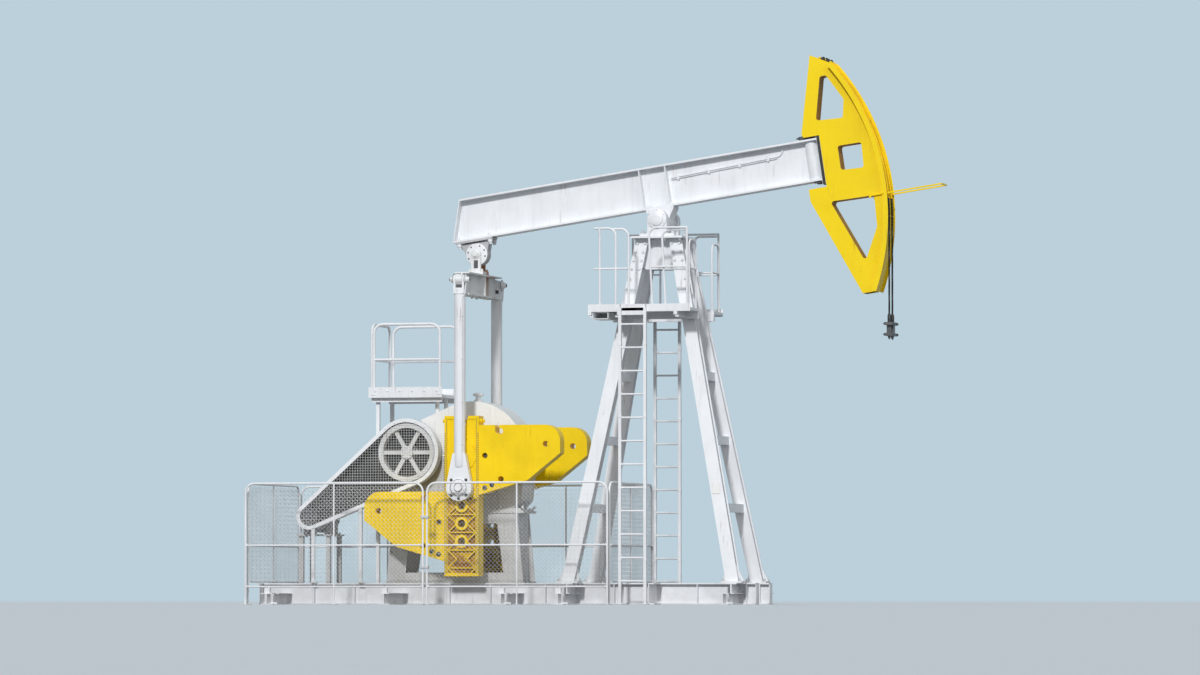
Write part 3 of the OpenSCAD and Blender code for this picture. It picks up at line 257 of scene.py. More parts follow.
# In these looks the tail bearing's housing and the head's linings take colours darkened to painted shade.
LOOKS = {
    "gearbox_cover": COVER, "gearbox_stand": GREY, "gearbox_housing": GREY, "motor": GREY,
    "motor_stand": GREY, "equalizer_beam": WORN, "equalizer_fork": WORN, "tail_bearing": PAINTED_SHADE_WHITE,
    "sheave": PALE,
    "crankshaft": DARK_STEEL_AND_SHADE, "carrier_bar": DARK_STEEL_AND_SHADE, "motor_pulley": DARK_STEEL_AND_SHADE, "drive_belts": RUBBER,
    "head_lining": SHADED, "crank_near": CRANK, "crank_far": CRANK, "weights_near": CAST, "weights_far": CAST,
}
for node_name, obj in nodes.items():
    look = LOOKS.get(node_name, YELLOW if node_name.startswith("head_") else WHITE)
    obj.data.materials.clear()
    obj.data.materials.append(look)


# Mesh building

def linked(name, data):
    """New object in the scene."""
    o = bpy.data.objects.new(name, data)
    bpy.context.scene.collection.objects.link(o)
    return o


def made(name, bm, material, body="base", smooth=True):
    """Turns a bmesh into a piece that rides on a body."""
    bmesh.ops.recalc_face_normals(bm, faces=bm.faces)
    mesh = bpy.data.meshes.new(name)
    bm.to_mesh(mesh)
    bm.free()
    mesh.materials.append(material)
    piece = linked(name, mesh)
    if smooth:
        mesh.shade_smooth()
        mesh.set_sharp_from_angle(angle=radians(35))
    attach(piece, body)
    return piece


def basis(direction):
    """Two unit vectors square to a direction."""
    d = direction.normalized()
    side = d.cross(Z_UP if abs(d.z) < 0.9 else X_UP).normalized()
    return side, side.cross(d).normalized()


def turns(count):
    """Cosine and sine of angles spaced evenly round a full turn."""
    return [(cos(2 * pi * k / count), sin(2 * pi * k / count)) for k in range(count)]


def circle(middle, u, v, r, count):
    return [middle + (u * c + v * s) * r for c, s in turns(count)]


def half_steps(count):
    """Angles in degrees spaced evenly round a full turn, the first half a step on."""
    return [360 / count * (k + 0.5) for k in range(count)]


def loft(bm, rings, closed=False):
    """Joins rings of points, each with the same count, by quads."""
    rows = [[bm.verts.new(p) for p in ring] for ring in rings]
    count = len(rows[0])
    for a, b in list(zip(rows, rows[1:])) + ([(rows[-1], rows[0])] if closed else []):
        for i in range(count):
            j = (i + 1) % count
            bm.faces.new((a[i], a[j], b[j], b[i]))
    if not closed:
        bm.faces.new(list(reversed(rows[0])))
        bm.faces.new(rows[-1])


def stack(bm, p, direction, steps, sides=16):
    """Turned piece: steps give (distance, radius) along the direction."""
    p, d = Vector(p), Vector(direction).normalized()
    u, v = basis(d)
    loft(bm, [circle(p + d * at, u, v, r, sides) for at, r in steps])


def rod(bm, p, q, r, sides=16):
    span = Vector(q) - Vector(p)
    stack(bm, p, span, ((0, r), (span.length, r)), sides)


def tube(bm, points, r, sides=8, closed=False):
    """Round tube along points."""
    pts = [Vector(p) for p in points]
    last = len(pts) - 1
    rings = []
    u = None
    for i, p in enumerate(pts):
        before = pts[i - 1] if i or closed else pts[0]
        after = pts[(i + 1) % len(pts)] if i < last or closed else pts[last]
        d = (after - before).normalized()
        if u is None:
            u, v = basis(d)
        u = (u - d * u.dot(d)).normalized()
        v = d.cross(u)
        a = (p - before).normalized() if (p - before).length > 1e-9 else d
        rings.append(circle(p, u, v, r / max(0.5, abs(a.dot(d))), sides))
    loft(bm, rings, closed)


def hoop(bm, middle, u, v, radius, count, r, sides=6):
    """Round tube bent into a full circle."""
    tube(bm, circle(Vector(middle), u, v, radius, count), r, sides, True)


def slab(bm, lo, hi, place=None, edge=0.0):
    """Box between two corners, with its twelve edges cut back by edge."""
    (x0, x1), (y0, y1), (z0, z1) = (sorted(pair) for pair in zip(lo, hi))
    e = min(edge, (x1 - x0) / 2.5, (y1 - y0) / 2.5, (z1 - z0) / 2.5)
    place = place or (lambda p: p)

    def outline(k, z):
        a, b, c, d = x0 + k, x1 - k, y0 + k, y1 - k
        return [place(Vector((x, y, z))) for x, y in ((a + e, c), (b - e, c), (b, c + e), (b, d - e),
                                                      (b - e, d), (a + e, d), (a, d - e), (a, c + e))]
    if e > 0:
        loft(bm, [outline(e, z0), outline(0, z0 + e), outline(0, z1 - e), outline(e, z1)])
    else:
        loft(bm, [[place(Vector((x, y, z))) for x, y in ((x0, y0), (x1, y0), (x1, y1), (x0, y1))]
                  for z in (z0, z1)])


def plate(bm, points, y0, y1, place=None):
    """Flat plate: points are (x, z) in outline order, thick from y0 to y1."""
    place = place or (lambda p: p)
    loft(bm, [[place(Vector((x, y, z))) for x, z in points] for y in sorted((y0, y1))])


def band(bm, outer, inner, y0, y1):
    """Flat band between two outlines with the same count of (x, z) points."""
    rows = ((outer, y0), (outer, y1), (inner, y1), (inner, y0))
    loft(bm, [[(x, y, z) for x, z in points] for points, y in rows], True)


def bolt(bm, p, direction, across, tall, washer=True, stud=False):
    """Hexagon head on a washer, or a nut with the stud's end standing out."""
    p, d = Vector(p), Vector(direction).normalized()
    r = across / 2 / cos(pi / 6)
    base = 0.004 if washer else 0.0
    if washer:
        stack(bm, p - d * 0.002, d, ((0, across * 0.78), (0.006, across * 0.78)), 14)
    stack(bm, p + d * (base - 0.001), d, ((0, r), (tall * 0.82, r), (tall, r * 0.84)), 6)
    if stud:
        stack(bm, p + d * (base + tall - 0.002), d,
              ((0, across * 0.3), (tall * 0.45, across * 0.3), (tall * 0.55, across * 0.24)), 10)


def bolt_ring(bm, middle, sy, r, angles, across, tall, washer=True):
    """Bolts that stand out along y, on a circle about a middle, at angles in degrees."""
    x, y, z = middle
    for t in map(radians, angles):
        bolt(bm, (x + r * cos(t), y, z + r * sin(t)), (0, sy, 0), across, tall, washer)


def bead(bm, p, q, r=0.006, step=0.03):
    """Weld bead: a low rippled line between two points."""
    p, q = Vector(p), Vector(q)
    u, v = basis(q - p)
    count = max(2, int((q - p).length / step))
    loft(bm, [circle(p.lerp(q, i / count), u, v, r * (1.0 if i % 2 else 0.78), 6) for i in range(count + 1)])


ARC = [pi / 16 * k for k in range(9)]


def bend_down(x, top, bend):
    """Quarter bend of a pipe that runs out along x and turns down."""
    return [(x - bend + bend * sin(t), top - bend + bend * cos(t)) for t in ARC]


def bend_over(x, top, bend):
    """Quarter bend of a pipe that comes up and turns over along x."""
    return [(x + bend - bend * cos(t), top - bend + bend * sin(t)) for t in ARC]


def gate(w, h, bend):
    """Upturned frame of bent pipe, as (along, up)."""
    return [(0, 0)] + bend_over(0, h, bend) + bend_down(w, h, bend) + [(w, 0)]


def on_beam(x, y, z):
    """A point given along the beam's own axes, at rest."""
    return Vector((x * cos(TILT) - z * sin(TILT), y, PIVOT_Z + x * sin(TILT) + z * cos(TILT)))


def beam_place(p):
    return on_beam(*p)


BEAM_X = on_beam(1, 0, 0) - on_beam(0, 0, 0)
BEAM_Z = on_beam(0, 0, 1) - on_beam(0, 0, 0)


def on_tail(x, y, z):
    """A point given from the tail bearing, at rest."""
    return Vector((TAIL_X + x, y, TAIL_Z + z))


def on_wrist(x, y, z):
    """A point given from the wrist pins, at rest."""
    return Vector((TAIL_X + x, y, WRIST_Z + z))


def on_shaft(x, y, z):
    """A point given from the cranks' shaft."""
    return Vector((TAIL_X + x, y, SHAFT_Z + z))


def shaft_place(p):
    return on_shaft(*p)


def leg_at(sx, sy, z, u=0.0, v=0.0):
    """A point on a leg at a height: u runs along the flange and v outward, away from the middle plane."""
    k = (LEG_HIGH - z) / (LEG_HIGH - LEG_LOW)
    x, y = (top + (foot - top) * k for top, foot in zip(LEG_TOP, LEG_FOOT))
    return Vector((sx * (x + u), sy * (y + v), z))


# Tower

def tower_fasteners():
    """Bolts of the legs, their feet, the pivot bearings and the cap."""
    bm = bmesh.new()
    for sx, sy in CORNERS:
        out = Vector((0, sy, 0.1)).normalized()
        pairs = [(z, u) for z in (5.06, 4.94, 4.82, 4.70) for u in (-0.055, 0.055)]
        for z, u in pairs + [(4.56, 0.055), (4.42, 0.055)]:
            bolt(bm, leg_at(sx, sy, z, u, FLANGE_FACE), out, *LEG_BOLT)
        for dx, dy in CORNERS:
            foot = (sx * LEG_FOOT[0] + dx * 0.125, sy * LEG_FOOT[1] + dy * 0.115, LEG_LOW)
            bolt(bm, foot, Z_UP, *FOOT_NUT, stud=True)
    for sy in BOTH:
        for x in (-0.215, 0.215):
            for y in (0.3, 0.365):
                bolt(bm, (x, sy * y, PIVOT_Z - 0.205), Z_UP, *BEARING_NUT, stud=True)
        bolt_ring(bm, (0, sy * 0.4, PIVOT_Z), sy, 0.12, half_steps(6), *COVER_BOLT)
        for x in (-0.33, -0.11, 0.11, 0.33):
            bolt(bm, (x, sy * 0.39, PIVOT_Z - 0.27), -Z_UP, *CAP_NUT, stud=True)
    made("tower_bolts", bm, BOLT)


def tower_plates():
    """Gussets at the feet and under the cap, splice plates on the legs and bearing covers."""
    bm = bmesh.new()
    for sx, sy in CORNERS:
        x, y = sx * LEG_FOOT[0], sy * LEG_FOOT[1]
        for s in BOTH:
            plate(bm, ((x + s * 0.086, LEG_LOW), (x + s * 0.145, LEG_LOW), (x + s * 0.145, LEG_LOW + 0.03),
                       (x + s * 0.075 - sx * 0.04, LEG_LOW + 0.24)), y - 0.008, y + 0.008)
        splice = [leg_at(sx, sy, z, u, 0.0895) for z, u in
                  ((4.36, -0.088), (4.36, 0.088), (5.125, 0.088), (5.125, -0.088))]
        loft(bm, [splice, [p + Y_UP * sy * 0.009 for p in splice]])
        plate(bm, ((sx * 0.24, 5.128), (sx * 0.36, 5.128), (sx * 0.36, 5.10), (sx * 0.27, 4.93)),
              sy * 0.2 - 0.007, sy * 0.2 + 0.007)
    for sy in BOTH:
        cap = ((-0.235, 5.12), (0.235, 5.12), (0.30, 4.76), (0.2, 4.7), (-0.2, 4.7), (-0.30, 4.76))
        plate(bm, cap, sy * 0.2 - 0.006, sy * 0.2 + 0.006)
        for y, sides, steps in (
                (0.399, 40, ((0, 0.138), (0.008, 0.138), (0.014, 0.128), (0.014, 0.104))),
                (0.42, 40, ((0, 0.098), (0.014, 0.092), (0.022, 0.07), (0.022, 0.03)))):
            stack(bm, (0, sy * y, PIVOT_Z), (0, sy, 0), steps, sides)
        stack(bm, (0, sy * 0.33, PIVOT_Z + 0.138), Z_UP,
              ((0, 0.018), (0.02, 0.018), (0.024, 0.012), (0.04, 0.012)), 12)
    made("tower_gussets", bm, WHITE)


# Platforms and ladders

RAIL_Y, RAIL_LEFT, RAIL_MID, RAIL_RIGHT = DECK_HALF - 0.04, -0.46, -0.28, DECK_FRONT - 0.055


def platform_trim():
    """Rail flanges, deck brackets, clamps and kick-plate bolts of both platforms."""
    bm = bmesh.new()
    for sy in BOTH:
        for x in (-0.69, RAIL_LEFT, RAIL_MID, 0.07, 0.25, RAIL_RIGHT):
            stack(bm, (x, sy * RAIL_Y, DECK_Z - 0.001), Z_UP,
                  ((0, 0.035), (0.01, 0.035), (0.012, 0.024), (0.04, 0.021)))
        slab(bm, (-0.39, sy * (DECK_HALF - 0.008), DECK_Z - 0.1), (-0.01, sy * DECK_HALF, KICK_TOP),
             edge=0.001)
        slab(bm, (DECK_REAR, sy * 0.938, DECK_Z - 0.055), (DECK_FRONT, sy * 0.9495, DECK_Z - 0.038),
             edge=0.003)
        for x in (DECK_REAR + 0.02, -0.46, 0.40):
            slab(bm, (x, sy * 0.42, DECK_Z - 0.13), (x + 0.05, sy * 0.93, DECK_Z - 0.105))
        for x in (REAR_BACK + 0.07, REAR_FRONT - 0.04):
            stack(bm, (x, sy * (REAR_HALF - 0.03), REAR_Z - 0.001), Z_UP,
                  ((0, 0.045), (0.01, 0.045), (0.012, 0.03), (0.04, 0.027)))
        for k in range(6):
            at = (REAR_BACK + 0.1 + 0.18 * k, sy * (REAR_HALF + 0.004), REAR_Z + 0.055)
            bolt(bm, at, (0, sy, 0), *COVER_BOLT)
        slab(bm, (REAR_BACK + 0.02, sy * 0.42 - 0.006, REAR_Z - 0.1),
             (REAR_FRONT - 0.02, sy * 0.42 + 0.006, REAR_Z - 0.04))
    made("platform_trim", bm, WHITE)


def lowered_deck():
    """Deck with its upstanding edge cut down to the height that shows."""
    bm = bmesh.new()
    slab(bm, (DECK_REAR - 0.1, -DECK_HALF - 0.1, KICK_TOP),
         (DECK_FRONT + 0.1, DECK_HALF + 0.1, KICK_TOP + 0.2))
    carved("platform_deck", "deck_frame", bm, WHITE, "base")


def platform_handrails():
    """Bent rails of thin pipe on both long sides, with open ends over the rear edge."""
    bm = bmesh.new()
    r, h, bend = 0.0155, 1.115, 0.11
    thin = r * 0.85
    for sy in BOTH:
        def at(x, z, inward=0.0, sy=sy):
            return Vector((x, sy * (RAIL_Y - inward), DECK_Z + z))
        pipes = (([(-0.765, h)] + bend_down(RAIL_LEFT, h, bend) + [(RAIL_LEFT, 0)], 0),
                 ([(-0.5, h - 0.01)] + bend_down(RAIL_MID, h - 0.01, bend) + [(RAIL_MID, 0)], 0.022),
                 ([(0.07, 0)] + bend_over(0.02, h, bend) + [(DECK_FRONT - 0.045, h)], 0),
                 ([(0.25, 0)] + bend_over(0.2, h - 0.035, bend) + [(DECK_FRONT - 0.06, h - 0.035)], 0.036))
        for points, inward in pipes:
            tube(bm, [at(x, z, inward) for x, z in points], r, 10)
        for x in (-0.69, RAIL_RIGHT):
            rod(bm, at(x, 0), at(x, h), r, 12)
        for x0, x1, z, inward in ((-0.775, RAIL_MID, 0.55, 0), (0.05, DECK_FRONT - 0.04, 0.57, 0),
                                  (0.225, DECK_FRONT - 0.04, 0.535, 0.036)):
            rod(bm, at(x0, z, inward), at(x1, z, inward), thin, 12)
        start, w = Vector((DECK_FRONT - 0.04, sy * (DECK_HALF - 0.09), DECK_Z)), DECK_HALF - 0.56
        tube(bm, [start - Y_UP * sy * u + Z_UP * z for u, z in gate(w, 0.95, bend)], r, 10)
        rod(bm, start + Z_UP * 0.55, start - Y_UP * sy * w + Z_UP * 0.55, thin, 12)
        for x0, x1, z0, z1 in ((-0.79, -0.56, 4.068, 4.08), (-0.79, -0.56, 3.975, 3.987),
                               (-0.79, -0.778, 3.98, 4.075), (-0.572, -0.56, 3.98, 4.075)):
            slab(bm, (x0, sy * 0.5, z0), (x1, sy * 0.935, z1), edge=0.002)
    piece = made("platform_handrails", bm, WHITE)
    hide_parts("platform_rails")


def deck_tread(name, x0, x1, spans, z):
    """Raised tread bars over a deck, set in rows that cross by turns."""
    bm = bmesh.new()
    step, lift = 0.06, 0.0035
    ring = [(-0.018, 0), (0, -0.004), (0.018, 0), (0, 0.004)]
    for y0, y1 in spans:
        for i in range(int((x1 - x0) / step)):
            for j in range(int((y1 - y0) / step)):
                cx, cy = x0 + step * (i + 0.5), y0 + step * (j + 0.5)
                t = pi / 4 * (1 if (i + j) % 2 else -1)
                c, s = cos(t), sin(t)
                base, top = ([bm.verts.new((cx + p * a * c - q * b * s, cy + p * a * s + q * b * c, height))
                              for a, b in ring] for p, q, height in ((1, 1, z), (0.6, 0.5, z + lift)))
                bm.faces.new(top)
                for k in range(4):
                    bm.faces.new((base[k], base[(k + 1) % 4], top[(k + 1) % 4], top[k]))
    made(name, bm, WHITE, smooth=False)


def ladder_trim():
    """Ladder brackets, foot plates and rung collars."""
    bm = bmesh.new()
    for s, sy in CORNERS:
        x = -0.2 + s * 0.18
        for z in (0.6, 1.6, 2.6, 3.6):
            slab(bm, (x - 0.024, sy * 0.945, z), (x + 0.024, sy * 1.003, z + 0.04), edge=0.003)
        slab(bm, (x - 0.05, sy * 0.975 - 0.045, 0), (x + 0.05, sy * 0.975 + 0.045, 0.012), edge=0.002)
        for k in range(1, 13):
            stack(bm, (x - s * 0.018, sy * 0.975, RUNG_STEP * k), (-s, 0, 0),
                  ((0, 0.02), (0.006, 0.02), (0.012, 0.015)), 12)
    made("ladder_trim", bm, WHITE)


# Fence

def fence_panels(name, panels, node):
    """Pipe frames of a fence: panels give (start, direction, width, lower rail)."""
    bm = bmesh.new()
    thin = FENCE_R * 0.8
    for start, d, w, low in panels:
        start, d = Vector(start), Vector(d)
        tube(bm, [start + d * u + Z_UP * z for u, z in gate(w, FENCE_H, FENCE_BEND)], FENCE_R, 14)
        rod(bm, start + d * (w / 2), start + d * (w / 2) + Z_UP * FENCE_H, thin, 12)
        for z in (low, FENCE_MID):
            rod(bm, start + Z_UP * z, start + d * w + Z_UP * z, thin, 12)
            for u, way in ((0.02, d), (w - 0.02, -d)):
                stack(bm, start + d * u + Z_UP * z, way, ((0, 0.026), (0.012, 0.022)), 12)
        for u in (0, w / 2, w):
            slab(bm, (-0.045, -0.045, 0), (0.045, 0.045, 0.008), lambda p, u=u: start + d * u + p, 0.002)
    piece = made(name, bm, WHITE)
    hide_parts(node)


def fence_mesh(name, panels):
    """Woven wire: each picket zigzags up the panel and hooks round the next one."""
    bm = bmesh.new()
    half = FENCE_PITCH
    for start, d, w, low in panels:
        start, d = Vector(start), Vector(d)
        side = d.cross(Z_UP)
        count = int((w - 0.05) / half)
        left = (w - count * half) / 2
        for k in range(count):
            u0 = left + k * half
            edge = min(u0, w - u0 - half)
            drop = FENCE_BEND - sqrt(max(0.0, FENCE_BEND ** 2 - max(0.0, FENCE_BEND - edge) ** 2))
            pts = []
            for m in range(int((FENCE_H - 0.02 - drop - low) / half) + 1):
                right = (m + k) % 2
                u, out = (u0 + half + FENCE_WIRE, FENCE_WEAVE) if right else (u0 - FENCE_WIRE, -FENCE_WEAVE)
                pts.append(start + d * u + Z_UP * (low + m * half) + side * out)
            if len(pts) > 1:
                tube(bm, pts, FENCE_WIRE, 3)
    made(name, bm, GALVANISED, smooth=False)


PANEL_GAP = 0.06
HALF_W = (FENCE_FRONT - FENCE_REAR - PANEL_GAP) / 2
SIDE_LOW, END_LOW, END_W = 0.25, BASE_H + FENCE_SEAT, 2 * FENCE_Y - 0.24
SIDES = {sy: [((FENCE_REAR + k * (HALF_W + PANEL_GAP), sy * FENCE_Y, 0), (1, 0, 0), HALF_W, SIDE_LOW)
              for k in (0, 1)] for sy in BOTH}
ENDS = [((x, -END_W / 2, 0), (0, 1, 0), END_W, END_LOW) for x in (FENCE_REAR, FENCE_FRONT)]


def fence_clips():
    """Clips that hold the panels to the frame's shoes and to each other."""
    bm = bmesh.new()
    for sy in BOTH:
        for x in (FENCE_REAR + 0.33, -3.7, -2.0, -1.18):
            hook = (pi * k / 8 - 0.2 for k in range(10))
            tube(bm, [(x, sy * FENCE_Y + 0.024 * cos(t), SIDE_LOW + 0.024 * sin(t)) for t in hook], 0.005, 6)
        x = FENCE_REAR + HALF_W + PANEL_GAP / 2
        for z in (0.5, 1.2):
            slab(bm, (x - 0.056, sy * FENCE_Y - 0.03, z), (x + 0.056, sy * FENCE_Y + 0.03, z + 0.04),
                 edge=0.004)
            bolt(bm, (x, sy * (FENCE_Y + 0.03), z + 0.02), (0, sy, 0), *CLIP_BOLT)
    made("fence_clips", bm, BOLT)


# Belt guard and belts

def guard_outline(grow=0.0, steps=30):
    """Outline round the sheave's circle and the pulley's, as (x, z), grown by a margin."""
    r_a, r_b = SHEAVE_R + GUARD_GAP + grow, PULLEY_R + GUARD_GAP + grow
    way, lean = atan2(-BELT_DOWN, -BELT_BACK), acos((r_a - r_b) / hypot(BELT_BACK, BELT_DOWN))
    far = [way + lean + (2 * pi - 2 * lean) * i / steps for i in range(steps + 1)]
    near = [way - lean + 2 * lean * i / (steps // 2) for i in range(steps // 2 + 1)]
    return ([(SHEAVE_X + r_a * cos(t), SHEAVE_Z + r_a * sin(t)) for t in far]
            + [(MOTOR_X + r_b * cos(t), MOTOR_Z + r_b * sin(t)) for t in near])


def under_guard(x):
    """Height of the guard's lower edge at a place along the machine."""
    n = atan2(-BELT_DOWN, -BELT_BACK) + acos((SHEAVE_R - PULLEY_R) / hypot(BELT_BACK, BELT_DOWN))
    return (SHEAVE_X * cos(n) + SHEAVE_Z * sin(n) + SHEAVE_R + GUARD_GAP - x * cos(n)) / sin(n)


def belt_guard():
    """Rim of the guard with its lips, posts and bolts."""
    bm = bmesh.new()
    outer = guard_outline(GUARD_T)
    band(bm, outer, guard_outline(), -GUARD_OUT, -GUARD_IN)
    band(bm, guard_outline(0.002), guard_outline(-0.045), -GUARD_OUT - 0.001, -GUARD_OUT + 0.007)
    band(bm, guard_outline(0.002), guard_outline(-0.03), -GUARD_IN - 0.006, -GUARD_IN)
    for x in (MOTOR_X + 0.06, MOTOR_X + 0.76):
        top = under_guard(x) + 0.025
        slab(bm, (x - 0.025, -GUARD_OUT, BASE_H), (x + 0.025, -GUARD_OUT + 0.04, top), edge=0.003)
        slab(bm, (x - 0.04, -GUARD_OUT, BASE_H), (x + 0.04, -0.4, BASE_H + 0.012), edge=0.002)
    for k in range(0, len(outer), 3):
        x, z = outer[k]
        cx, cz = (SHEAVE_X, SHEAVE_Z) if k <= 30 else (MOTOR_X, MOTOR_Z)
        v = Vector((cx - x, 0, cz - z)).normalized()
        bolt(bm, (x + v.x * 0.03, -GUARD_OUT, z + v.z * 0.03), -Y_UP, *SMALL_BOLT)
    piece = made("belt_guard_frame", bm, WHITE)
    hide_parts("belt_guard")


def span_inside(points, at, axis):
    """Lowest and highest crossing of an outline with the line where coordinate axis equals at."""
    hits = []
    for p, q in zip(points, points[1:] + points[:1]):
        a, b = p[axis] - at, q[axis] - at
        if (a < 0) != (b < 0):
            hits.append(p[1 - axis] + (q[1 - axis] - p[1 - axis]) * a / (a - b))
    return (min(hits), max(hits)) if len(hits) > 1 else None


def guard_mesh():
    """Square wire mesh over the guard's open side."""
    bm = bmesh.new()
    outline = guard_outline(-0.005)
    for axis, y in ((0, -GUARD_OUT + 0.009), (1, -GUARD_OUT + 0.012)):
        low, high = min(p[axis] for p in outline), max(p[axis] for p in outline)
        for i in range(int((high - low) / GUARD_PITCH)):
            at = low + GUARD_PITCH * (i + 0.5)
            span = span_inside(outline, at, axis)
            if span:
                ends = [(k, y, at) if axis else (at, y, k) for k in span]
                rod(bm, *ends, GUARD_WIRE, 5)
    made("belt_guard_mesh", bm, GALVANISED, smooth=False)


def guard_back(name, y0, y1, material):
    """Back sheet of the guard, cut out round the two shafts."""
    bm = bmesh.new()
    outline = guard_outline(-0.002)
    xs = [p[0] for p in outline]
    middle, count = -4.45, 64
    for x0, x1, cx, cz, r in ((min(xs), middle, MOTOR_X, MOTOR_Z, 0.06),
                              (middle, max(xs), SHEAVE_X, SHEAVE_Z, 0.13)):
        rays = turns(count)
        outer = [edge_point(outline, cx, cz, ray, x0, x1) for ray in rays]
        band(bm, outer, [(cx + r * c, cz + r * s) for c, s in rays], y0, y1)
    made(name, bm, material, smooth=False)


def edge_point(outline, cx, cz, ray, x0, x1):
    """Where a ray from a centre leaves the outline, kept between two upright lines."""
    dx, dz = ray
    far = 9.0
    for (ax, az), (bx, bz) in zip(outline, outline[1:] + outline[:1]):
        ex, ez = bx - ax, bz - az
        den = dx * ez - dz * ex
        if abs(den) > 1e-9:
            k = ((ax - cx) * ez - (az - cz) * ex) / den
            m = ((ax - cx) * dz - (az - cz) * dx) / den
            if k > 0 and 0 <= m <= 1:
                far = min(far, k)
    for edge in (x0, x1):
        if abs(dx) > 1e-9 and (edge - cx) / dx > 0:
            far = min(far, (edge - cx) / dx)
    return cx + far * dx, cz + far * dz


def sheave_grooves():
    """Ribs between the belt grooves and the hub's bolts."""
    bm = bmesh.new()
    root, tip = SHEAVE_R - 0.002, SHEAVE_R + 0.009
    for k in range(6):
        y = -BELT_IN - (BELT_OUT - BELT_IN) * k / 5
        rib = ((root, y - 0.006), (tip, y - 0.0025), (tip, y + 0.0025), (root, y + 0.006))
        loft(bm, [[(SHEAVE_X + r * c, at, SHEAVE_Z + r * s) for r, at in rib] for c, s in turns(72)], True)
    hub = (SHEAVE_X, -BELT_OUT, SHEAVE_Z)
    bolt_ring(bm, hub, -1, 0.065, half_steps(6), *COVER_BOLT)
    stack(bm, hub, -Y_UP, ((0, 0.03), (0.012, 0.03), (0.014, 0.02)), 6)
    made("sheave_trim", bm, PALE, "sheave")


# Gearbox and motor

def gearbox_fasteners():
    """Bolts of the joint between housing and cover, of the bearing covers and of the feet."""
    bm = bmesh.new()
    joint, under = SHAFT_Z + 0.04, SHAFT_Z - 0.04
    for sy in BOTH:
        for k in range(13):
            x = GEARBOX_REAR + 0.06 + (GEARBOX_FRONT - GEARBOX_REAR - 0.12) * k / 12
            bolt(bm, (x, sy * 0.330, joint), Z_UP, 0.026, 0.018, stud=True)
            bolt(bm, (x, sy * 0.330, under), -Z_UP, *SIDE_BOLT)
            if k % 2 == 0:
                bolt(bm, (x + 0.02, sy * 0.315, GEARBOX_UNDER + 0.035), Z_UP, 0.034, 0.024, stud=True)
        bolt_ring(bm, on_shaft(0, sy * 0.355, 0), sy, 0.15, half_steps(10), *SIDE_BOLT)
        bolt_ring(bm, (SHEAVE_X, sy * 0.334, SHEAVE_Z), sy, 0.092, half_steps(8), 0.018, 0.012)
    for x in (GEARBOX_REAR - 0.04, GEARBOX_FRONT + 0.04):
        for y in (-0.25, -0.08, 0.08, 0.25):
            bolt(bm, (x, y, joint), Z_UP, 0.024, 0.016, stud=True)
    made("gearbox_bolts", bm, BOLT)


def gearbox_fittings():
    """Lifting eyes, ribs, bearing covers, breather, sight glass and drain."""
    bm = bmesh.new()
    for sy in BOTH:
        for t in (radians(25), radians(155)):
            d = Vector((cos(t), 0, sin(t)))
            c = on_shaft(0, sy * 0.2, 0) + d * (DOME_R - 0.03)
            hoop(bm, c + d * 0.055, d, d.cross(Y_UP), 0.04, 16, 0.011, 8)
            rod(bm, c, c + d * 0.03, 0.022, 12)
        for x in (-0.55, -0.28, 0.28, 0.55):
            top = sqrt(DOME_R ** 2 - x ** 2) - 0.03
            slab(bm, on_shaft(x - 0.009, sy * 0.32, 0.03), on_shaft(x + 0.009, sy * 0.333, top), edge=0.002)
        stack(bm, (SHEAVE_X, sy * 0.319, SHEAVE_Z), Y_UP * sy,
              ((0, 0.115), (0.012, 0.115), (0.016, 0.108), (0.016, 0.045)), 36)
        stack(bm, on_shaft(0, sy * 0.353, 0), Y_UP * sy,
              ((0, 0.178), (0.006, 0.176), (0.01, 0.12), (0.01, 0.094)), 48)
    stack(bm, on_shaft(0, 0, DOME_R + 0.084), Z_UP,
          ((0, 0.07), (0.008, 0.078), (0.03, 0.078), (0.042, 0.06), (0.044, 0.02)), 24)
    stack(bm, (GEARBOX_REAR + 0.02, 0.12, GEARBOX_UNDER + 0.3), -X_UP,
          ((0, 0.045), (0.02, 0.045), (0.024, 0.034)), 20)
    stack(bm, (GEARBOX_REAR + 0.06, -0.1, GEARBOX_UNDER + 0.12), -X_UP,
          ((0, 0.02), (0.05, 0.02), (0.05, 0.028), (0.07, 0.028)), 12)
    made("gearbox_fittings", bm, COVER)


def gearbox_seal():
    """Dark joint line between the housing and its cover."""
    bm = bmesh.new()
    slab(bm, (GEARBOX_REAR - 0.051, -0.341, SHAFT_Z - 0.002), (GEARBOX_FRONT + 0.051, 0.341, SHAFT_Z + 0.002))
    made("gearbox_seal", bm, SEAL_AND_SHADE_BLACK, smooth=False)


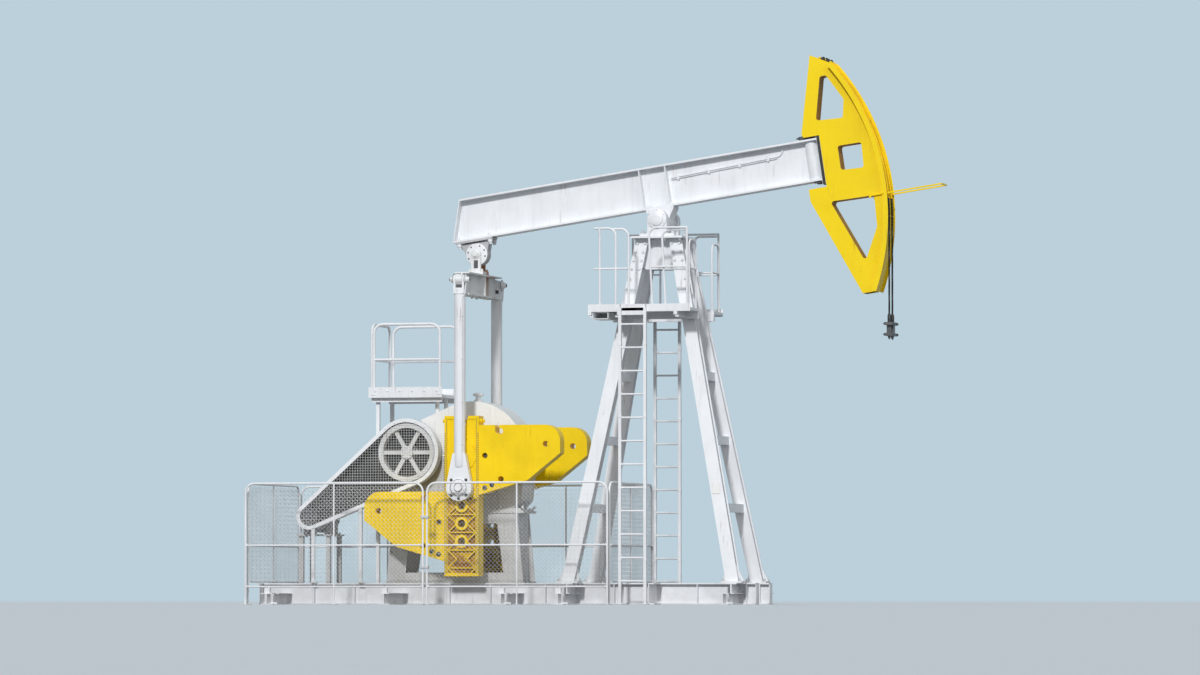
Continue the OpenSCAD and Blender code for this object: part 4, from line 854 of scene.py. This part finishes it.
def motor_trim():
    """Cowl grille, end-shield bolts, terminal box lid, cable gland and foot bolts."""
    bm = bmesh.new()

    def at(x, y, z):
        return Vector((MOTOR_X + x, y, MOTOR_Z + z))
    for r in (0.05, 0.085, 0.12, 0.155):
        hoop(bm, at(0, 0.334, 0), X_UP, Z_UP, r, 28, 0.004)
    for c, s in turns(8):
        rod(bm, at(c * 0.03, 0.333, s * 0.03), at(c * 0.178, 0.333, s * 0.178), 0.0035, 6)
    shield = [45 * k + degrees(0.39) for k in range(8)]
    bolt_ring(bm, at(0, -0.252, 0), -1, 0.19, shield, *CLIP_BOLT)
    slab(bm, at(-0.096, -0.066, MOTOR_R + 0.082), at(0.096, 0.126, MOTOR_R + 0.1), edge=0.005)
    stack(bm, at(-0.088, 0.03, MOTOR_R + 0.04), -X_UP,
          ((0, 0.02), (0.02, 0.02), (0.02, 0.024), (0.04, 0.024), (0.044, 0.016)), 12)
    for sx, sy in CORNERS:
        bolt(bm, at(sx * 0.08, 0.03 + sy * 0.08, MOTOR_R + 0.1), Z_UP, 0.014, 0.008)
        bolt(bm, at(sx * 0.16, sy * 0.15, -MOTOR_R - 0.06), -Z_UP, *MOTOR_BOLT)
        bolt(bm, at(sx * 0.235, sy * 0.15, -MOTOR_R - 0.04), Z_UP, *MOTOR_BOLT, stud=True)
    made("motor_trim", bm, BOLT)


# Base frame

def base_trim():
    """Stiffeners, end plates and anchor washers on the base frame."""
    bm = bmesh.new()
    for sy in BOTH:
        for x in (-5.42, -2.0, -1.18, 1.18):
            stack(bm, (x, sy * 1.1, 0.03), Z_UP,
                  ((0, 0.045), (0.008, 0.045), (0.008, 0.019), (0.0, 0.019)), 20)
        for x0, x1 in ((-5.809, -5.797), (1.437, 1.449)):
            slab(bm, (x0, sy * 0.4 - 0.08, 0.001), (x1, sy * 0.4 + 0.08, 0.299), edge=0.002)
        for x in (-5.0, -4.4, -3.0, -2.4, -1.6, -0.6, 0.6, 1.3):
            for t in BOTH:
                slab(bm, (x - 0.006, sy * 0.4 + t * 0.009, 0.018), (x + 0.006, sy * 0.4 + t * 0.079, 0.282))
    made("base_stiffeners", bm, WHITE, smooth=False)


# Beam

def beam_trim():
    """Weld lines of the beam, and the bolts and covers of its bearings."""
    bm = bmesh.new()
    for s in BOTH:
        for x in (-0.238, -0.222, 0.142, 0.158):
            bead(bm, on_beam(x, s * 0.01, BEAM_LOW + 0.03), on_beam(x, s * 0.01, BEAM_HIGH - 0.03))
        for x, z in ((-2.98, BEAM_LOW + 0.028), (-2.85, BEAM_HIGH - 0.028)):
            bead(bm, on_beam(x, s * 0.011, z), on_beam(NOSE - 0.02, s * 0.011, z), step=0.04)
        for x in (-0.17, -0.12, 0.12, 0.17):
            bolt(bm, on_beam(x, s * 0.115, BEAM_LOW + FLANGE_T), BEAM_Z, 0.036, 0.026, stud=True)
        for x in (-TAIL_ARM - 0.23, -TAIL_ARM + 0.23):
            bolt(bm, on_beam(x, s * 0.105, BEAM_LOW + FLANGE_T), BEAM_Z, *BEARING_NUT, stud=True)
            stack(bm, on_beam(x, s * 0.105, BEAM_LOW - 0.029), -BEAM_Z,
                  ((0, 0.034), (0.035, 0.034), (0.04, 0.028)), 18)
            bolt(bm, on_beam(x, s * 0.105, BEAM_LOW - 0.068), -BEAM_Z, *BEARING_NUT)
        stack(bm, on_beam(-TAIL_ARM, s * 0.0895, -TAIL_DROP), (0, s, 0),
              ((0, 0.157), (0.005, 0.155), (0.007, 0.148), (0.007, 0.06)), 48)
    made("beam_trim", bm, WHITE, "beam")


def tail_bolts_and_shade():
    """Dark bolts round the tail bearing's covers, and a dark block over its housing that is painted shade
    under the beam.
    """
    bm = bmesh.new()
    for sy in BOTH:
        for t in map(radians, (-20, 20, 60, 120, 160, 200)):
            at = on_beam(-TAIL_ARM + 0.128 * cos(t), sy * 0.096, -TAIL_DROP + 0.128 * sin(t))
            bolt(bm, at, (0, sy, 0), 0.02, 0.009, washer=False)
    # Dark block that is painted shade in the gap between the housing and the beam's lower flange.
    slab(bm, (-TAIL_ARM - 0.15, -0.0925, 0.125), (-TAIL_ARM + 0.15, 0.0925, 0.166), beam_place, 0.002)
    made("tail_bolts_and_shade", bm, DARK_STEEL_AND_SHADE, "beam")


def head_latch():
    """Screw latch over the head joint, its block on the beam, and the hook below."""
    bm = bmesh.new()
    screw = BEAM_HIGH + 0.034
    hook = ((NOSE - 0.13, BEAM_LOW + 0.002), (NOSE - 0.03, BEAM_LOW + 0.002),
            (NOSE - 0.04, BEAM_LOW - 0.028), (NOSE - 0.12, BEAM_LOW - 0.028))
    for s in BOTH:
        y = s * 0.09
        slab(bm, (NOSE - 0.24, y - 0.025, BEAM_HIGH - 0.002), (NOSE - 0.19, y + 0.025, BEAM_HIGH + 0.055),
             beam_place, 0.004)
        slab(bm, (NOSE - 0.03, y - 0.03, BEAM_HIGH + 0.018), (NOSE + 0.05, y + 0.03, BEAM_HIGH + 0.028),
             beam_place, 0.003)
        rod(bm, on_beam(NOSE - 0.29, y, screw), on_beam(NOSE + 0.02, y, screw), 0.011, 12)
        bolt(bm, on_beam(NOSE - 0.24, y, screw), -BEAM_X, *LATCH_NUT)
        bolt(bm, on_beam(NOSE - 0.19, y, screw), BEAM_X, *LATCH_NUT)
        stack(bm, on_beam(NOSE - 0.15, y, screw), BEAM_X,
              ((0, 0.012), (0.01, 0.02), (0.05, 0.02), (0.06, 0.012)), 12)
        plate(bm, hook, y - 0.02, y + 0.02, beam_place)
        bolt(bm, on_beam(NOSE - 0.08, y + s * 0.02, BEAM_LOW - 0.015), (0, s, 0), 0.024, 0.014)
    made("head_latch", bm, DARK_STEEL_AND_SHADE, "beam")


def head_pad():
    """Dark pad that shows round the joint plate between the beam and the horsehead."""
    bm = bmesh.new()
    half = HEAD_SIDE + 0.003
    slab(bm, (NOSE + 0.004, -half, BEAM_LOW - 0.063), (NOSE + JOINT_T - 0.002, half, BEAM_HIGH + 0.0215),
         beam_place, 0.002)
    made("head_joint_pad", bm, SEAL_AND_SHADE_BLACK, "beam", smooth=False)


def grease_line():
    """Thin pipe along the beam's web to the head, with its clips."""
    bm = bmesh.new()
    y, bend = -0.028, 0.09
    run = [(0.2, BEAM_LOW + 0.4), (1.0, BEAM_LOW + 0.42), (1.75, BEAM_LOW + 0.44)]
    rise = [(1.75 + bend * sin(t), BEAM_LOW + 0.53 - bend * cos(t)) for t in ARC[1:]]
    tube(bm, [on_beam(x, y, z) for x, z in run + rise + [(1.84, BEAM_HIGH - 0.026)]], 0.009)
    tube(bm, [on_beam(x, y - 0.002, z - 0.022) for x, z in run], 0.006)
    for x in (0.3, 0.75, 1.2, 1.62):
        z = BEAM_LOW + 0.4 + 0.026 * (x - 0.2)
        slab(bm, (x - 0.015, y - 0.011, z - 0.045), (x + 0.015, -0.008, z + 0.026), beam_place, 0.003)
    made("grease_line", bm, WHITE, "beam")


# Ropes

LAY, STRANDS, STRAND_R = 0.12, 6, ROPE_R * 0.36

# Upper corner of the head's face, with the directions along and out of the edge that carries the clamps
CORNER = Vector((cos(TOP_ANGLE), 0, sin(TOP_ANGLE))) * HEAD_R
EDGE, EDGE_OUT = Vector((-0.862, 0, 0.507)), Vector((0.507, 0, 0.862))


def strands(bm, line):
    """Wire rope: strands wound about a centre line of (point, side, up, length so far)."""
    for k in range(STRANDS):
        pts = []
        for p, side, up, at in line:
            t = 2 * pi * (at / LAY + k / STRANDS)
            pts.append(p + (side * cos(t) + up * sin(t)) * (ROPE_R - STRAND_R))
        tube(bm, pts, STRAND_R, 5)


def face_line(s, a, b, count):
    """Centre line of a rope on the head's face between two angles."""
    line = []
    for i in range(count + 1):
        t = a + (b - a) * i / count
        out = BEAM_X * cos(t) + BEAM_Z * sin(t)
        line.append((on_beam(0, s * ROPE_Y, 0) + out * ROPE_LINE, Y_UP, out, ROPE_LINE * (t - a)))
    return line


def top_line(s):
    """Centre line of a rope over the head's upper end to its clamps."""
    lift = ROPE_R + 0.001
    angles = [TOP_ANGLE + (atan2(EDGE_OUT.z, EDGE_OUT.x) - TOP_ANGLE) * k / 6 for k in range(7)]
    ways = [Vector((cos(t), 0, sin(t))) for t in angles]
    pts = [(CORNER + out * lift, out) for out in ways]
    pts += [(CORNER + EDGE_OUT * lift + EDGE * 0.015 * k, EDGE_OUT) for k in range(1, 14)]
    line, run = [], 0.0
    for p, out in pts:
        p = beam_place(p + Y_UP * s * ROPE_Y)
        run += (p - line[-1][0]).length if line else 0.0
        line.append((p, Y_UP, BEAM_X * out.x + BEAM_Z * out.z, run))
    return line


def head_ropes():
    """Ropes laid on the head's face, painted but for their lower ends, and the clamps at their tops."""
    start = asin((ROPE_R + ROPE_GAP) / ROPE_LINE) - TILT
    change = start + 0.075
    up = BEAM_X * EDGE_OUT.x + BEAM_Z * EDGE_OUT.z
    upper, lower, clamps = bmesh.new(), bmesh.new(), bmesh.new()
    for s in BOTH:
        strands(lower, face_line(s, start, change, 22))
        strands(upper, face_line(s, change, TOP_ANGLE, 170))
        strands(upper, top_line(s))

        def place(p, s=s):
            return beam_place(CORNER + EDGE * p.x + EDGE_OUT * p.z + Y_UP * (s * ROPE_Y + p.y))
        for x in (0.05, 0.125):
            slab(clamps, (x - 0.028, -0.036, 0.001), (x + 0.028, 0.036, 0.034), place, 0.004)
            for y in (-0.023, 0.023):
                bolt(clamps, place(Vector((x, y, 0.034))), up, *COVER_BOLT)
    piece = made("face_ropes", upper, PAINTED_ROPE, "beam")
    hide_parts("head_ropes")
    made("face_rope_ends", lower, ROPE, "beam")
    made("rope_clamps", clamps, ROPE, "beam")


def bridle():
    """Ropes that hang from the head to the carrier bar, with a core inside and a socket at each foot."""
    bm = bmesh.new()
    low = CARRIER_Z + 0.095
    long = PIVOT_Z - low
    count = int(long / 0.012)
    reach = [long * i / count for i in range(count + 1)]
    for s in BOTH:
        foot = Vector((ROPE_LINE, s * ROPE_Y, low))
        head = foot + Z_UP * long
        strands(bm, [(foot + Z_UP * at, X_UP, Y_UP, at) for at in reach])
        stack(bm, foot, Z_UP, ((0, 0.026), (0.09, 0.026), (0.105, 0.021), (0.12, 0.016)), 20)
        stack(bm, head - Z_UP * 0.012, Z_UP,
              ((0, 0.0142), (0.012, 0.0142), (0.02, 0.0105), (0.0245, 0.004)), 14)
        rod(bm, foot, head, ROPE_R * 0.45, 6)
    piece = made("hanging_ropes", bm, ROPE, "bridle")
    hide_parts("bridle_ropes")


def carrier_trim():
    """Bolts and stiffeners of the carrier bar, and the nuts under its ropes."""
    bm = bmesh.new()
    for s in BOTH:
        for dy, dz in CORNERS:
            bolt(bm, (ROPE_LINE + s * 0.06, dy * 0.14, CARRIER_Z + dz * 0.075), X_UP * s, 0.022, 0.014)
        bolt(bm, (ROPE_LINE, s * ROPE_Y, CARRIER_Z - 0.095), -Z_UP, 0.036, 0.03, stud=True)
        slab(bm, (ROPE_LINE - 0.03, s * 0.1 - 0.008, CARRIER_Z - 0.056),
             (ROPE_LINE + 0.03, s * 0.1 + 0.008, CARRIER_Z + 0.056), edge=0.003)
    made("carrier_trim", bm, DARK_STEEL_AND_SHADE, "bridle")


# Horsehead

def head_trim():
    """Weld lines along the face, flats at the joint, and short bars at the sides."""
    bm = bmesh.new()
    r, joint, bar = HEAD_R - HEAD_T - 0.004, NOSE + JOINT_T + 0.03, -0.16
    for s in BOTH:
        arc = [-TIP_ANGLE + 0.03 + (TOP_ANGLE + TIP_ANGLE - 0.09) * i / 45 for i in range(46)]
        tube(bm, [on_beam(r * cos(t), s * (HEAD_SIDE + 0.003), r * sin(t)) for t in arc], 0.007, 6)
        slab(bm, (joint, s * HEAD_SIDE, BEAM_LOW - 0.04), (joint + 0.012, s * (HEAD_SIDE + 0.004), BEAM_HIGH),
             beam_place)
        rod(bm, on_beam(3.02, s * 0.157, bar), on_beam(3.228, s * 0.157, bar), 0.013, 10)
        slab(bm, (3.0, s * HEAD_SIDE, bar - 0.03), (3.03, s * (HEAD_SIDE + 0.03), bar + 0.03),
             beam_place, 0.003)
        bolt(bm, on_beam(HEAD_R - 0.028, s * HEAD_FACE, bar), (0, s, 0), *COVER_BOLT)
    made("head_trim", bm, YELLOW, "beam")


# Equalizer and pitmans

def equalizer_trim():
    """Bolts and pins of the equalizer and its fork."""
    bm = bmesh.new()
    for sx, sy in CORNERS:
        bolt(bm, on_tail(sx * 0.09, sy * 0.13, FORK_TOP + 0.04), Z_UP, *FOOT_NUT, stud=True)
        bolt(bm, on_tail(sx * 0.06, sy * 0.12, FORK_TOP - 0.32), -Z_UP, 0.032, 0.02)
        stack(bm, on_tail(sx * 0.078, sy * PITMAN_Y, KNUCKLE), X_UP * sx,
              ((0, 0.075), (0.012, 0.075), (0.016, 0.066)), 24)
        bolt(bm, on_tail(sx * 0.11, sy * PITMAN_Y, KNUCKLE), X_UP * sx, 0.06, 0.03)
    for sy in BOTH:
        stack(bm, on_tail(0, sy * 0.131, 0), Y_UP * sy, ((0, 0.066), (0.008, 0.066), (0.012, 0.056)), 28)
        bolt(bm, on_tail(0, sy * 0.156, 0), Y_UP * sy, 0.062, 0.02)
    made("equalizer_trim", bm, WORN, "equalizer")


def wrist_covers():
    """Covers and bolts of the wrist bearings, the pitmans' sockets and weld lines, and pipes with clips."""
    bm = bmesh.new()
    for sy in BOTH:
        for y, steps in ((0.995, ((0, 0.132), (0.008, 0.13), (0.012, 0.122), (0.012, 0.118))),
                         (1.015, ((0, 0.112), (0.008, 0.104), (0.01, 0.07), (0.003, 0.052)))):
            stack(bm, on_wrist(0, sy * y, 0), Y_UP * sy, steps, 44)
        bolt_ring(bm, on_wrist(0, sy * 1.022, 0), sy, 0.088, half_steps(8), *SMALL_BOLT)
        bolt(bm, on_wrist(0, sy * 1.018, 0), Y_UP * sy, 0.08, 0.022)
        stack(bm, on_wrist(0, sy * PITMAN_Y, 0.45), -Z_UP,
              ((0, PITMAN_R), (0.14, PITMAN_R), (0.165, 0.068), (0.17, 0.05)), 32)
        for x in (-0.059, 0.059):
            bead(bm, on_wrist(x, sy * 0.996, 0.3), on_wrist(x, sy * 0.996, 0.478), 0.007, 0.012)
        hoop(bm, on_tail(0, sy * PITMAN_Y, -0.596), X_UP, Y_UP, PITMAN_R + 0.002, 24, 0.007)
        y = sy * (PITMAN_Y + 0.069)
        tube(bm, [on_wrist(0.052, y, 0.31), on_tail(0.052, y, -0.66), on_tail(0.082, y - sy * 0.03, -0.6),
                  on_tail(0.097, y - sy * 0.05, -0.45)], 0.006)
        for z in (0.6, 1.2, 1.8, 2.4):
            slab(bm, on_wrist(0.04, y - 0.009, z), on_wrist(0.064, y + 0.009, z + 0.02), edge=0.002)
    made("pitman_trim", bm, WHITE, "equalizer")


def wrist_bolts():
    """Dark bolts round the wrist bearings, and dark rings and blocks of painted shade round the bearing
    covers, under the sockets' knuckles and on the fork.
    """
    bm = bmesh.new()
    for sy in BOTH:
        bolt_ring(bm, on_wrist(0, sy * 0.995, 0), sy, 0.152, (45, 135, 225, 270, 315), 0.028, 0.016)
        # Dark rings, painted shade in the grooves round the bearing covers' bosses.
        for r, y in ((0.116, 1.0125), (0.059, 1.0225)):
            hoop(bm, on_wrist(0, sy * y, 0), X_UP, Z_UP, r, 40, 0.0045)
        # Dark blocks, painted shade under the pitman's knuckle and on the fork's face below the pin.
        slab(bm, on_tail(-0.05, sy * 0.905, -0.55), on_tail(0.05, sy * 0.955, -0.41))
        slab(bm, on_tail(-0.03, sy * 0.1312, -0.2), on_tail(0.03, sy * 0.1335, -0.085), edge=0.001)
        for s in BOTH:
            stack(bm, on_tail(s * 0.079, sy * PITMAN_Y, KNUCKLE), X_UP * s, ((0, 0.082), (0.0045, 0.082)), 28)
            bolt(bm, on_tail(s * 0.14, sy * PITMAN_Y, KNUCKLE), X_UP * s, 0.05, 0.012, washer=False)
    made("pitman_bolts_and_shade", bm, DARK_STEEL_AND_SHADE, "equalizer")


# Cranks

def crank_ribs():
    """Cast ribs that cross between the wrist pin holes, on both faces of each arm."""
    bm = bmesh.new()
    pockets = [(sy * (face + sink * 0.062), sy * (face + sink * 0.012))
               for sy in BOTH for face, sink in ((CRANK_OUT, -1), (CRANK_IN, 1))]
    for y0, y1 in pockets:
        for k in range(1, 6):
            z = -0.325 - WRIST_STEP * k
            slab(bm, (-0.205, y0, z - 0.009), (0.205, y1, z + 0.009), shaft_place, 0.004)
            tops = [top for top in (z, z - 0.25) if top > 0.05 - CRANK_TIP]
            for s, top in ((s, top) for s in BOTH for top in tops):
                p, q = Vector((s * 0.205, top)), Vector((s * 0.07, z - 0.125))
                d = (q - p).normalized()
                w = Vector((-d.y, d.x)) * 0.008
                plate(bm, (p - w, q - w, q + w, p + w), y0, y1, shaft_place)
    made("crank_ribs", bm, CRANK, "crank")


def carved(node, name, cutter, material, body):
    """Copy of a frame piece with finer cuts, which stands in for it."""
    mesh = nodes[node].data.copy()
    mesh.transform(nodes[node].matrix_world)
    piece = linked(name, mesh)
    bmesh.ops.recalc_face_normals(cutter, faces=cutter.faces)
    tool_mesh = bpy.data.meshes.new("cutter")
    cutter.to_mesh(tool_mesh)
    cutter.free()
    tool = linked("cutter", tool_mesh)
    step = piece.modifiers.new("cut", "BOOLEAN")
    step.operation, step.solver, step.object = "DIFFERENCE", "EXACT", tool
    bpy.context.view_layer.update()
    shaped = bpy.data.meshes.new_from_object(piece.evaluated_get(bpy.context.evaluated_depsgraph_get()))
    piece.modifiers.clear()
    piece.data = shaped
    bpy.data.objects.remove(tool)
    shaped.name = name
    shaped.materials.clear()
    shaped.materials.append(material)
    shaped.polygons.foreach_set("material_index", [0] * len(shaped.polygons))
    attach(piece, body)
    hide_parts(node)


# Half of the gap that splits a crank's head, from its mouth down, as (out, up) from the shaft
SPLIT = [(-0.1, 0.56), (-0.012, 0.3), (-0.005, 0.24), (-0.005, 0.12)]

# Side of the crank that a weight sits on, and how high its upper end is over the shaft
WEIGHTS = ((1, 0.43), (-1, -0.5))


def crank_heads():
    """Solid face of each arm round the shaft, down to the first pin hole, with raised casting lines."""
    bm = bmesh.new()
    left = SPLIT + [(-0.005, -0.58), (-0.21, -0.58), (-0.21, 0.56)]
    for sy in BOTH:
        y0, y1, y = sy * (CRANK_IN + 0.06), sy * (CRANK_OUT - 0.014), sy * (CRANK_OUT - 0.012)
        for s in BOTH:
            plate(bm, [(s * x, z) for x, z in left], y0, y1, shaft_place)
        slab(bm, on_shaft(-0.006, y0, -0.58), on_shaft(0.006, y1, 0.12))
        for z in (0.3, 0.02):
            bead(bm, on_shaft(0.03, y, z), on_shaft(0.2, y, z - 0.2), 0.005, 0.02)
    made("crank_heads", bm, CAST, "crank", smooth=False)


def crank_arms():
    """Arms whose upper end is split and clamped on the shaft."""
    mouth = (SPLIT[0][0] * 1.15, 0.62)
    half = [mouth] + SPLIT
    notch = half + [(-x, z) for x, z in reversed(half)]
    for sy, node in ((-1, "crank_near"), (1, "crank_far")):
        bm = bmesh.new()
        plate(bm, notch, sy * (CRANK_IN - 0.05), sy * (CRANK_OUT + 0.05), shaft_place)
        carved(node, node + "_split", bm, CRANK, "crank")


def weight_blocks():
    """Weights with a lifting notch in the upper edge and a pocket for the clamp bolt."""
    round_end = [(0.2675 - 0.03 * cos(t), -0.09 - 0.03 * sin(t)) for t in (pi * k / 10 for k in range(11))]
    notch = [(0.2, 0.05), (0.225, -0.005), (0.238, -0.03)] + round_end + [(0.297, 0.05)]
    for sy, node in ((-1, "weights_near"), (1, "weights_far")):
        bm = bmesh.new()
        for s, z in WEIGHTS:
            plate(bm, [(s * (CRANK_HALF + u), z + v) for u, v in notch], sy * 0.58, sy * 0.87, shaft_place)
            pocket = on_shaft(s * (CRANK_HALF + 0.086), sy * 0.87, z - 0.43)
            stack(bm, pocket, Y_UP * -sy, ((0, 0.04), (0.12, 0.04)), 28)
        carved(node, node + "_notched", bm, CAST, "crank")


def crank_teeth():
    """Toothed strips along the arms, on which the weights are moved."""
    bm = bmesh.new()
    pitch, foot = 0.032, 0.04 - CRANK_TIP
    for s, sy in CORNERS:
        y0, y1 = sy * CRANK_OUT, sy * (CRANK_OUT + 0.0035)
        for z in [foot + pitch * k for k in range(int((CRANK_TIP + 0.3) / pitch))]:
            slab(bm, on_shaft(s * 0.241 - 0.006, y0, z), on_shaft(s * 0.241 + 0.006, y1, z + pitch * 0.55))
        slab(bm, on_shaft(s * 0.219 - 0.002, y0, foot), on_shaft(s * 0.219 + 0.002, y1, CRANK_HEEL - 0.03))
    made("crank_teeth", bm, DARK_STEEL_AND_SHADE, "crank", smooth=False)


def crank_fasteners():
    """Clamp bolts through the split, and covers over the shaft's ends."""
    bm = bmesh.new()
    for sy in BOTH:
        for y in (sy * 0.665, sy * 0.785):
            rod(bm, on_shaft(-0.2, y, 0.49), on_shaft(0.2, y, 0.49), 0.02, 14)
            for s in BOTH:
                bolt(bm, on_shaft(s * 0.25, y, 0.49), X_UP * s, 0.05, 0.034)
                bolt(bm, on_shaft(s * 0.135, y, 0.49), X_UP * -s, 0.05, 0.02)
        stack(bm, on_shaft(0, sy * (CRANK_OUT - 0.004), 0), Y_UP * sy,
              ((0, 0.13), (0.003, 0.128), (0.003, 0.08)), 40)
    made("crank_clamp_bolts", bm, CAST, "crank")


def weight_bolts():
    """Bolts in the weights' faces and in their pockets."""
    bm = bmesh.new()
    rows = ((0.086, -0.88, 0.838, 0.012), (0.19, -0.84, 0.838, 0.012), (0.086, -0.43, 0.752, 0.03))
    for (s, z), sy in ((weight, sy) for weight in WEIGHTS for sy in BOTH):
        for u, v, y, tall in rows:
            bolt(bm, on_shaft(s * (CRANK_HALF + u), sy * y, z + v), Y_UP * sy, WEIGHT_BOLT, tall)
    made("weight_bolts", bm, DARK_STEEL_AND_SHADE, "crank")


def notice_plates():
    """Bare plates on two of the legs, leaning as the legs do."""
    bm = bmesh.new()
    for sx, sy in ((1, -1), (-1, 1)):
        c = leg_at(sx, sy, 1.62, 0, FLANGE_FACE + 0.004)

        def place(p, c=c, sy=sy):
            return c + Vector((p.x, sy * (p.y - p.z * LEG_LEAN), p.z))
        slab(bm, (-0.055, 0, -0.08), (0.055, 0.004, 0.08), place, 0.001)
        for dx, dz in CORNERS:
            bolt(bm, place(Vector((dx * 0.045, 0.004, dz * 0.07))), (0, sy, 0), 0.008, 0.004, washer=False)
    made("notice_plates", bm, COVER)


def build(*functions):
    """Runs the functions that build pieces, in their order."""
    for function in functions:
        function()


build(tower_fasteners, tower_plates, platform_trim, platform_handrails, lowered_deck, ladder_trim)
deck_tread("deck_tread_side", DECK_REAR + 0.02, DECK_FRONT - 0.02, ((-0.93, -0.52), (0.52, 0.93)), DECK_Z)
deck_tread("deck_tread_rear", DECK_REAR + 0.02, -0.56, ((-0.46, 0.46),), DECK_Z)
deck_tread("rear_deck_tread", REAR_BACK + 0.01, REAR_FRONT - 0.01, ((-0.47, 0.47),), REAR_Z)
fence_panels("fence_panels_near", SIDES[-1], "fence_near")
fence_panels("fence_panels_far", SIDES[1], "fence_far")
fence_panels("fence_panels_end", ENDS, "fence_ends")
fence_mesh("fence_mesh_near", SIDES[-1])
fence_mesh("fence_mesh_far", SIDES[1])
fence_mesh("fence_mesh_end", ENDS)
build(fence_clips, belt_guard, guard_mesh)
guard_back("belt_guard_back", -GUARD_IN - 0.002, -GUARD_IN - 0.0005, WHITE)
# Black sheet behind the guard's mesh, painted shade that darkens the guard's inside.
guard_back("belt_guard_painted_shade", -GUARD_IN - 0.004, -GUARD_IN - 0.0025, SEAL_AND_SHADE_BLACK)
build(sheave_grooves, gearbox_fasteners, gearbox_fittings, gearbox_seal, motor_trim, base_trim)
build(beam_trim, tail_bolts_and_shade, head_latch, head_pad, grease_line, head_ropes, bridle, carrier_trim, head_trim)
build(equalizer_trim, wrist_covers, wrist_bolts, crank_ribs, crank_arms, crank_heads, weight_blocks)
build(crank_teeth, crank_fasteners, weight_bolts, notice_plates)


# Stage, light and camera

def seen(tree):
    """One for what the camera sees, straight or in a reflection or through glass, and nought for light."""
    path = tree.nodes.new("ShaderNodeLightPath")
    direct = maths(tree, "MAXIMUM", path.outputs["Is Camera Ray"], path.outputs["Is Glossy Ray"])
    return maths(tree, "MAXIMUM", direct, path.outputs["Is Transmission Ray"])


def floor():
    """Pale floor that throws less light up than it shows."""
    bm = bmesh.new()
    size = 400.0
    bm.faces.new([bm.verts.new((x * size, y * size, -0.002))
                  for x, y in ((-1, -1), (1, -1), (1, 1), (-1, 1))])
    mesh = bpy.data.meshes.new("floor")
    bm.to_mesh(mesh)
    bm.free()
    m = bpy.data.materials.new("floor_pale")
    m.use_nodes = True
    t = m.node_tree
    shader = t.nodes["Principled BSDF"]
    shader.inputs["Roughness"].default_value = 0.9
    shader.inputs["Specular IOR Level"].default_value = 0.1
    t.links.new(mixed(t, seen(t), (0.16, 0.165, 0.17), (0.68, 0.74, 0.78)), shader.inputs["Base Color"])
    mesh.materials.append(m)
    o = linked("floor", mesh)


def world():
    """Even light from all round, with a sky colour behind the machine."""
    w = bpy.data.worlds.new("studio")
    bpy.context.scene.world = w
    w.use_nodes = True
    t = w.node_tree
    t.nodes.clear()
    out, mix = t.nodes.new("ShaderNodeOutputWorld"), t.nodes.new("ShaderNodeMixShader")
    t.links.new(seen(t), mix.inputs[0])
    for k, colour, strength in ((1, (0.93, 0.96, 1.0, 1), 0.38), (2, (0.50, 0.63, 0.71, 1), 1.0)):
        glow = t.nodes.new("ShaderNodeBackground")
        glow.inputs["Color"].default_value = colour
        glow.inputs["Strength"].default_value = strength
        t.links.new(glow.outputs[0], mix.inputs[k])
    t.links.new(mix.outputs[0], out.inputs[0])


def aimed(o, way):
    """Turns a light or camera to look along a direction."""
    o.rotation_mode = "QUATERNION"
    o.rotation_quaternion = way.to_track_quat("-Z", "Y")


def sun(name, towards, strength, spread):
    lamp = bpy.data.lights.new(name, "SUN")
    lamp.energy = strength
    lamp.angle = radians(spread)
    aimed(linked(name, lamp), Vector(towards))


def camera():
    """Camera at the photograph's angle: turned 15 degrees from square on, far off and near the ground."""
    heading = radians(15)
    ahead = Vector((-sin(heading), cos(heading), 0))
    focal, far_off = 6390.0, 90.0
    middle = Vector((-0.93, 0.0, 0.0))
    spot = middle - ahead * far_off + Z_UP * 0.05
    aim = middle + Z_UP * 3.76
    data = bpy.data.cameras.new("camera")
    data.sensor_width = 36
    data.lens = focal / 1200 * 36
    data.clip_end = 1000
    o = linked("camera", data)
    o.location = spot
    aimed(o, aim - spot)
    bpy.context.scene.camera = o


floor()
world()
sun("key_light", (-0.04, 0.88, -0.47), 2.15, 5)
sun("fill_light", (-0.7, 0.5, -0.35), 0.5, 50)
camera()
bpy.context.scene.view_settings.view_transform = "Standard"
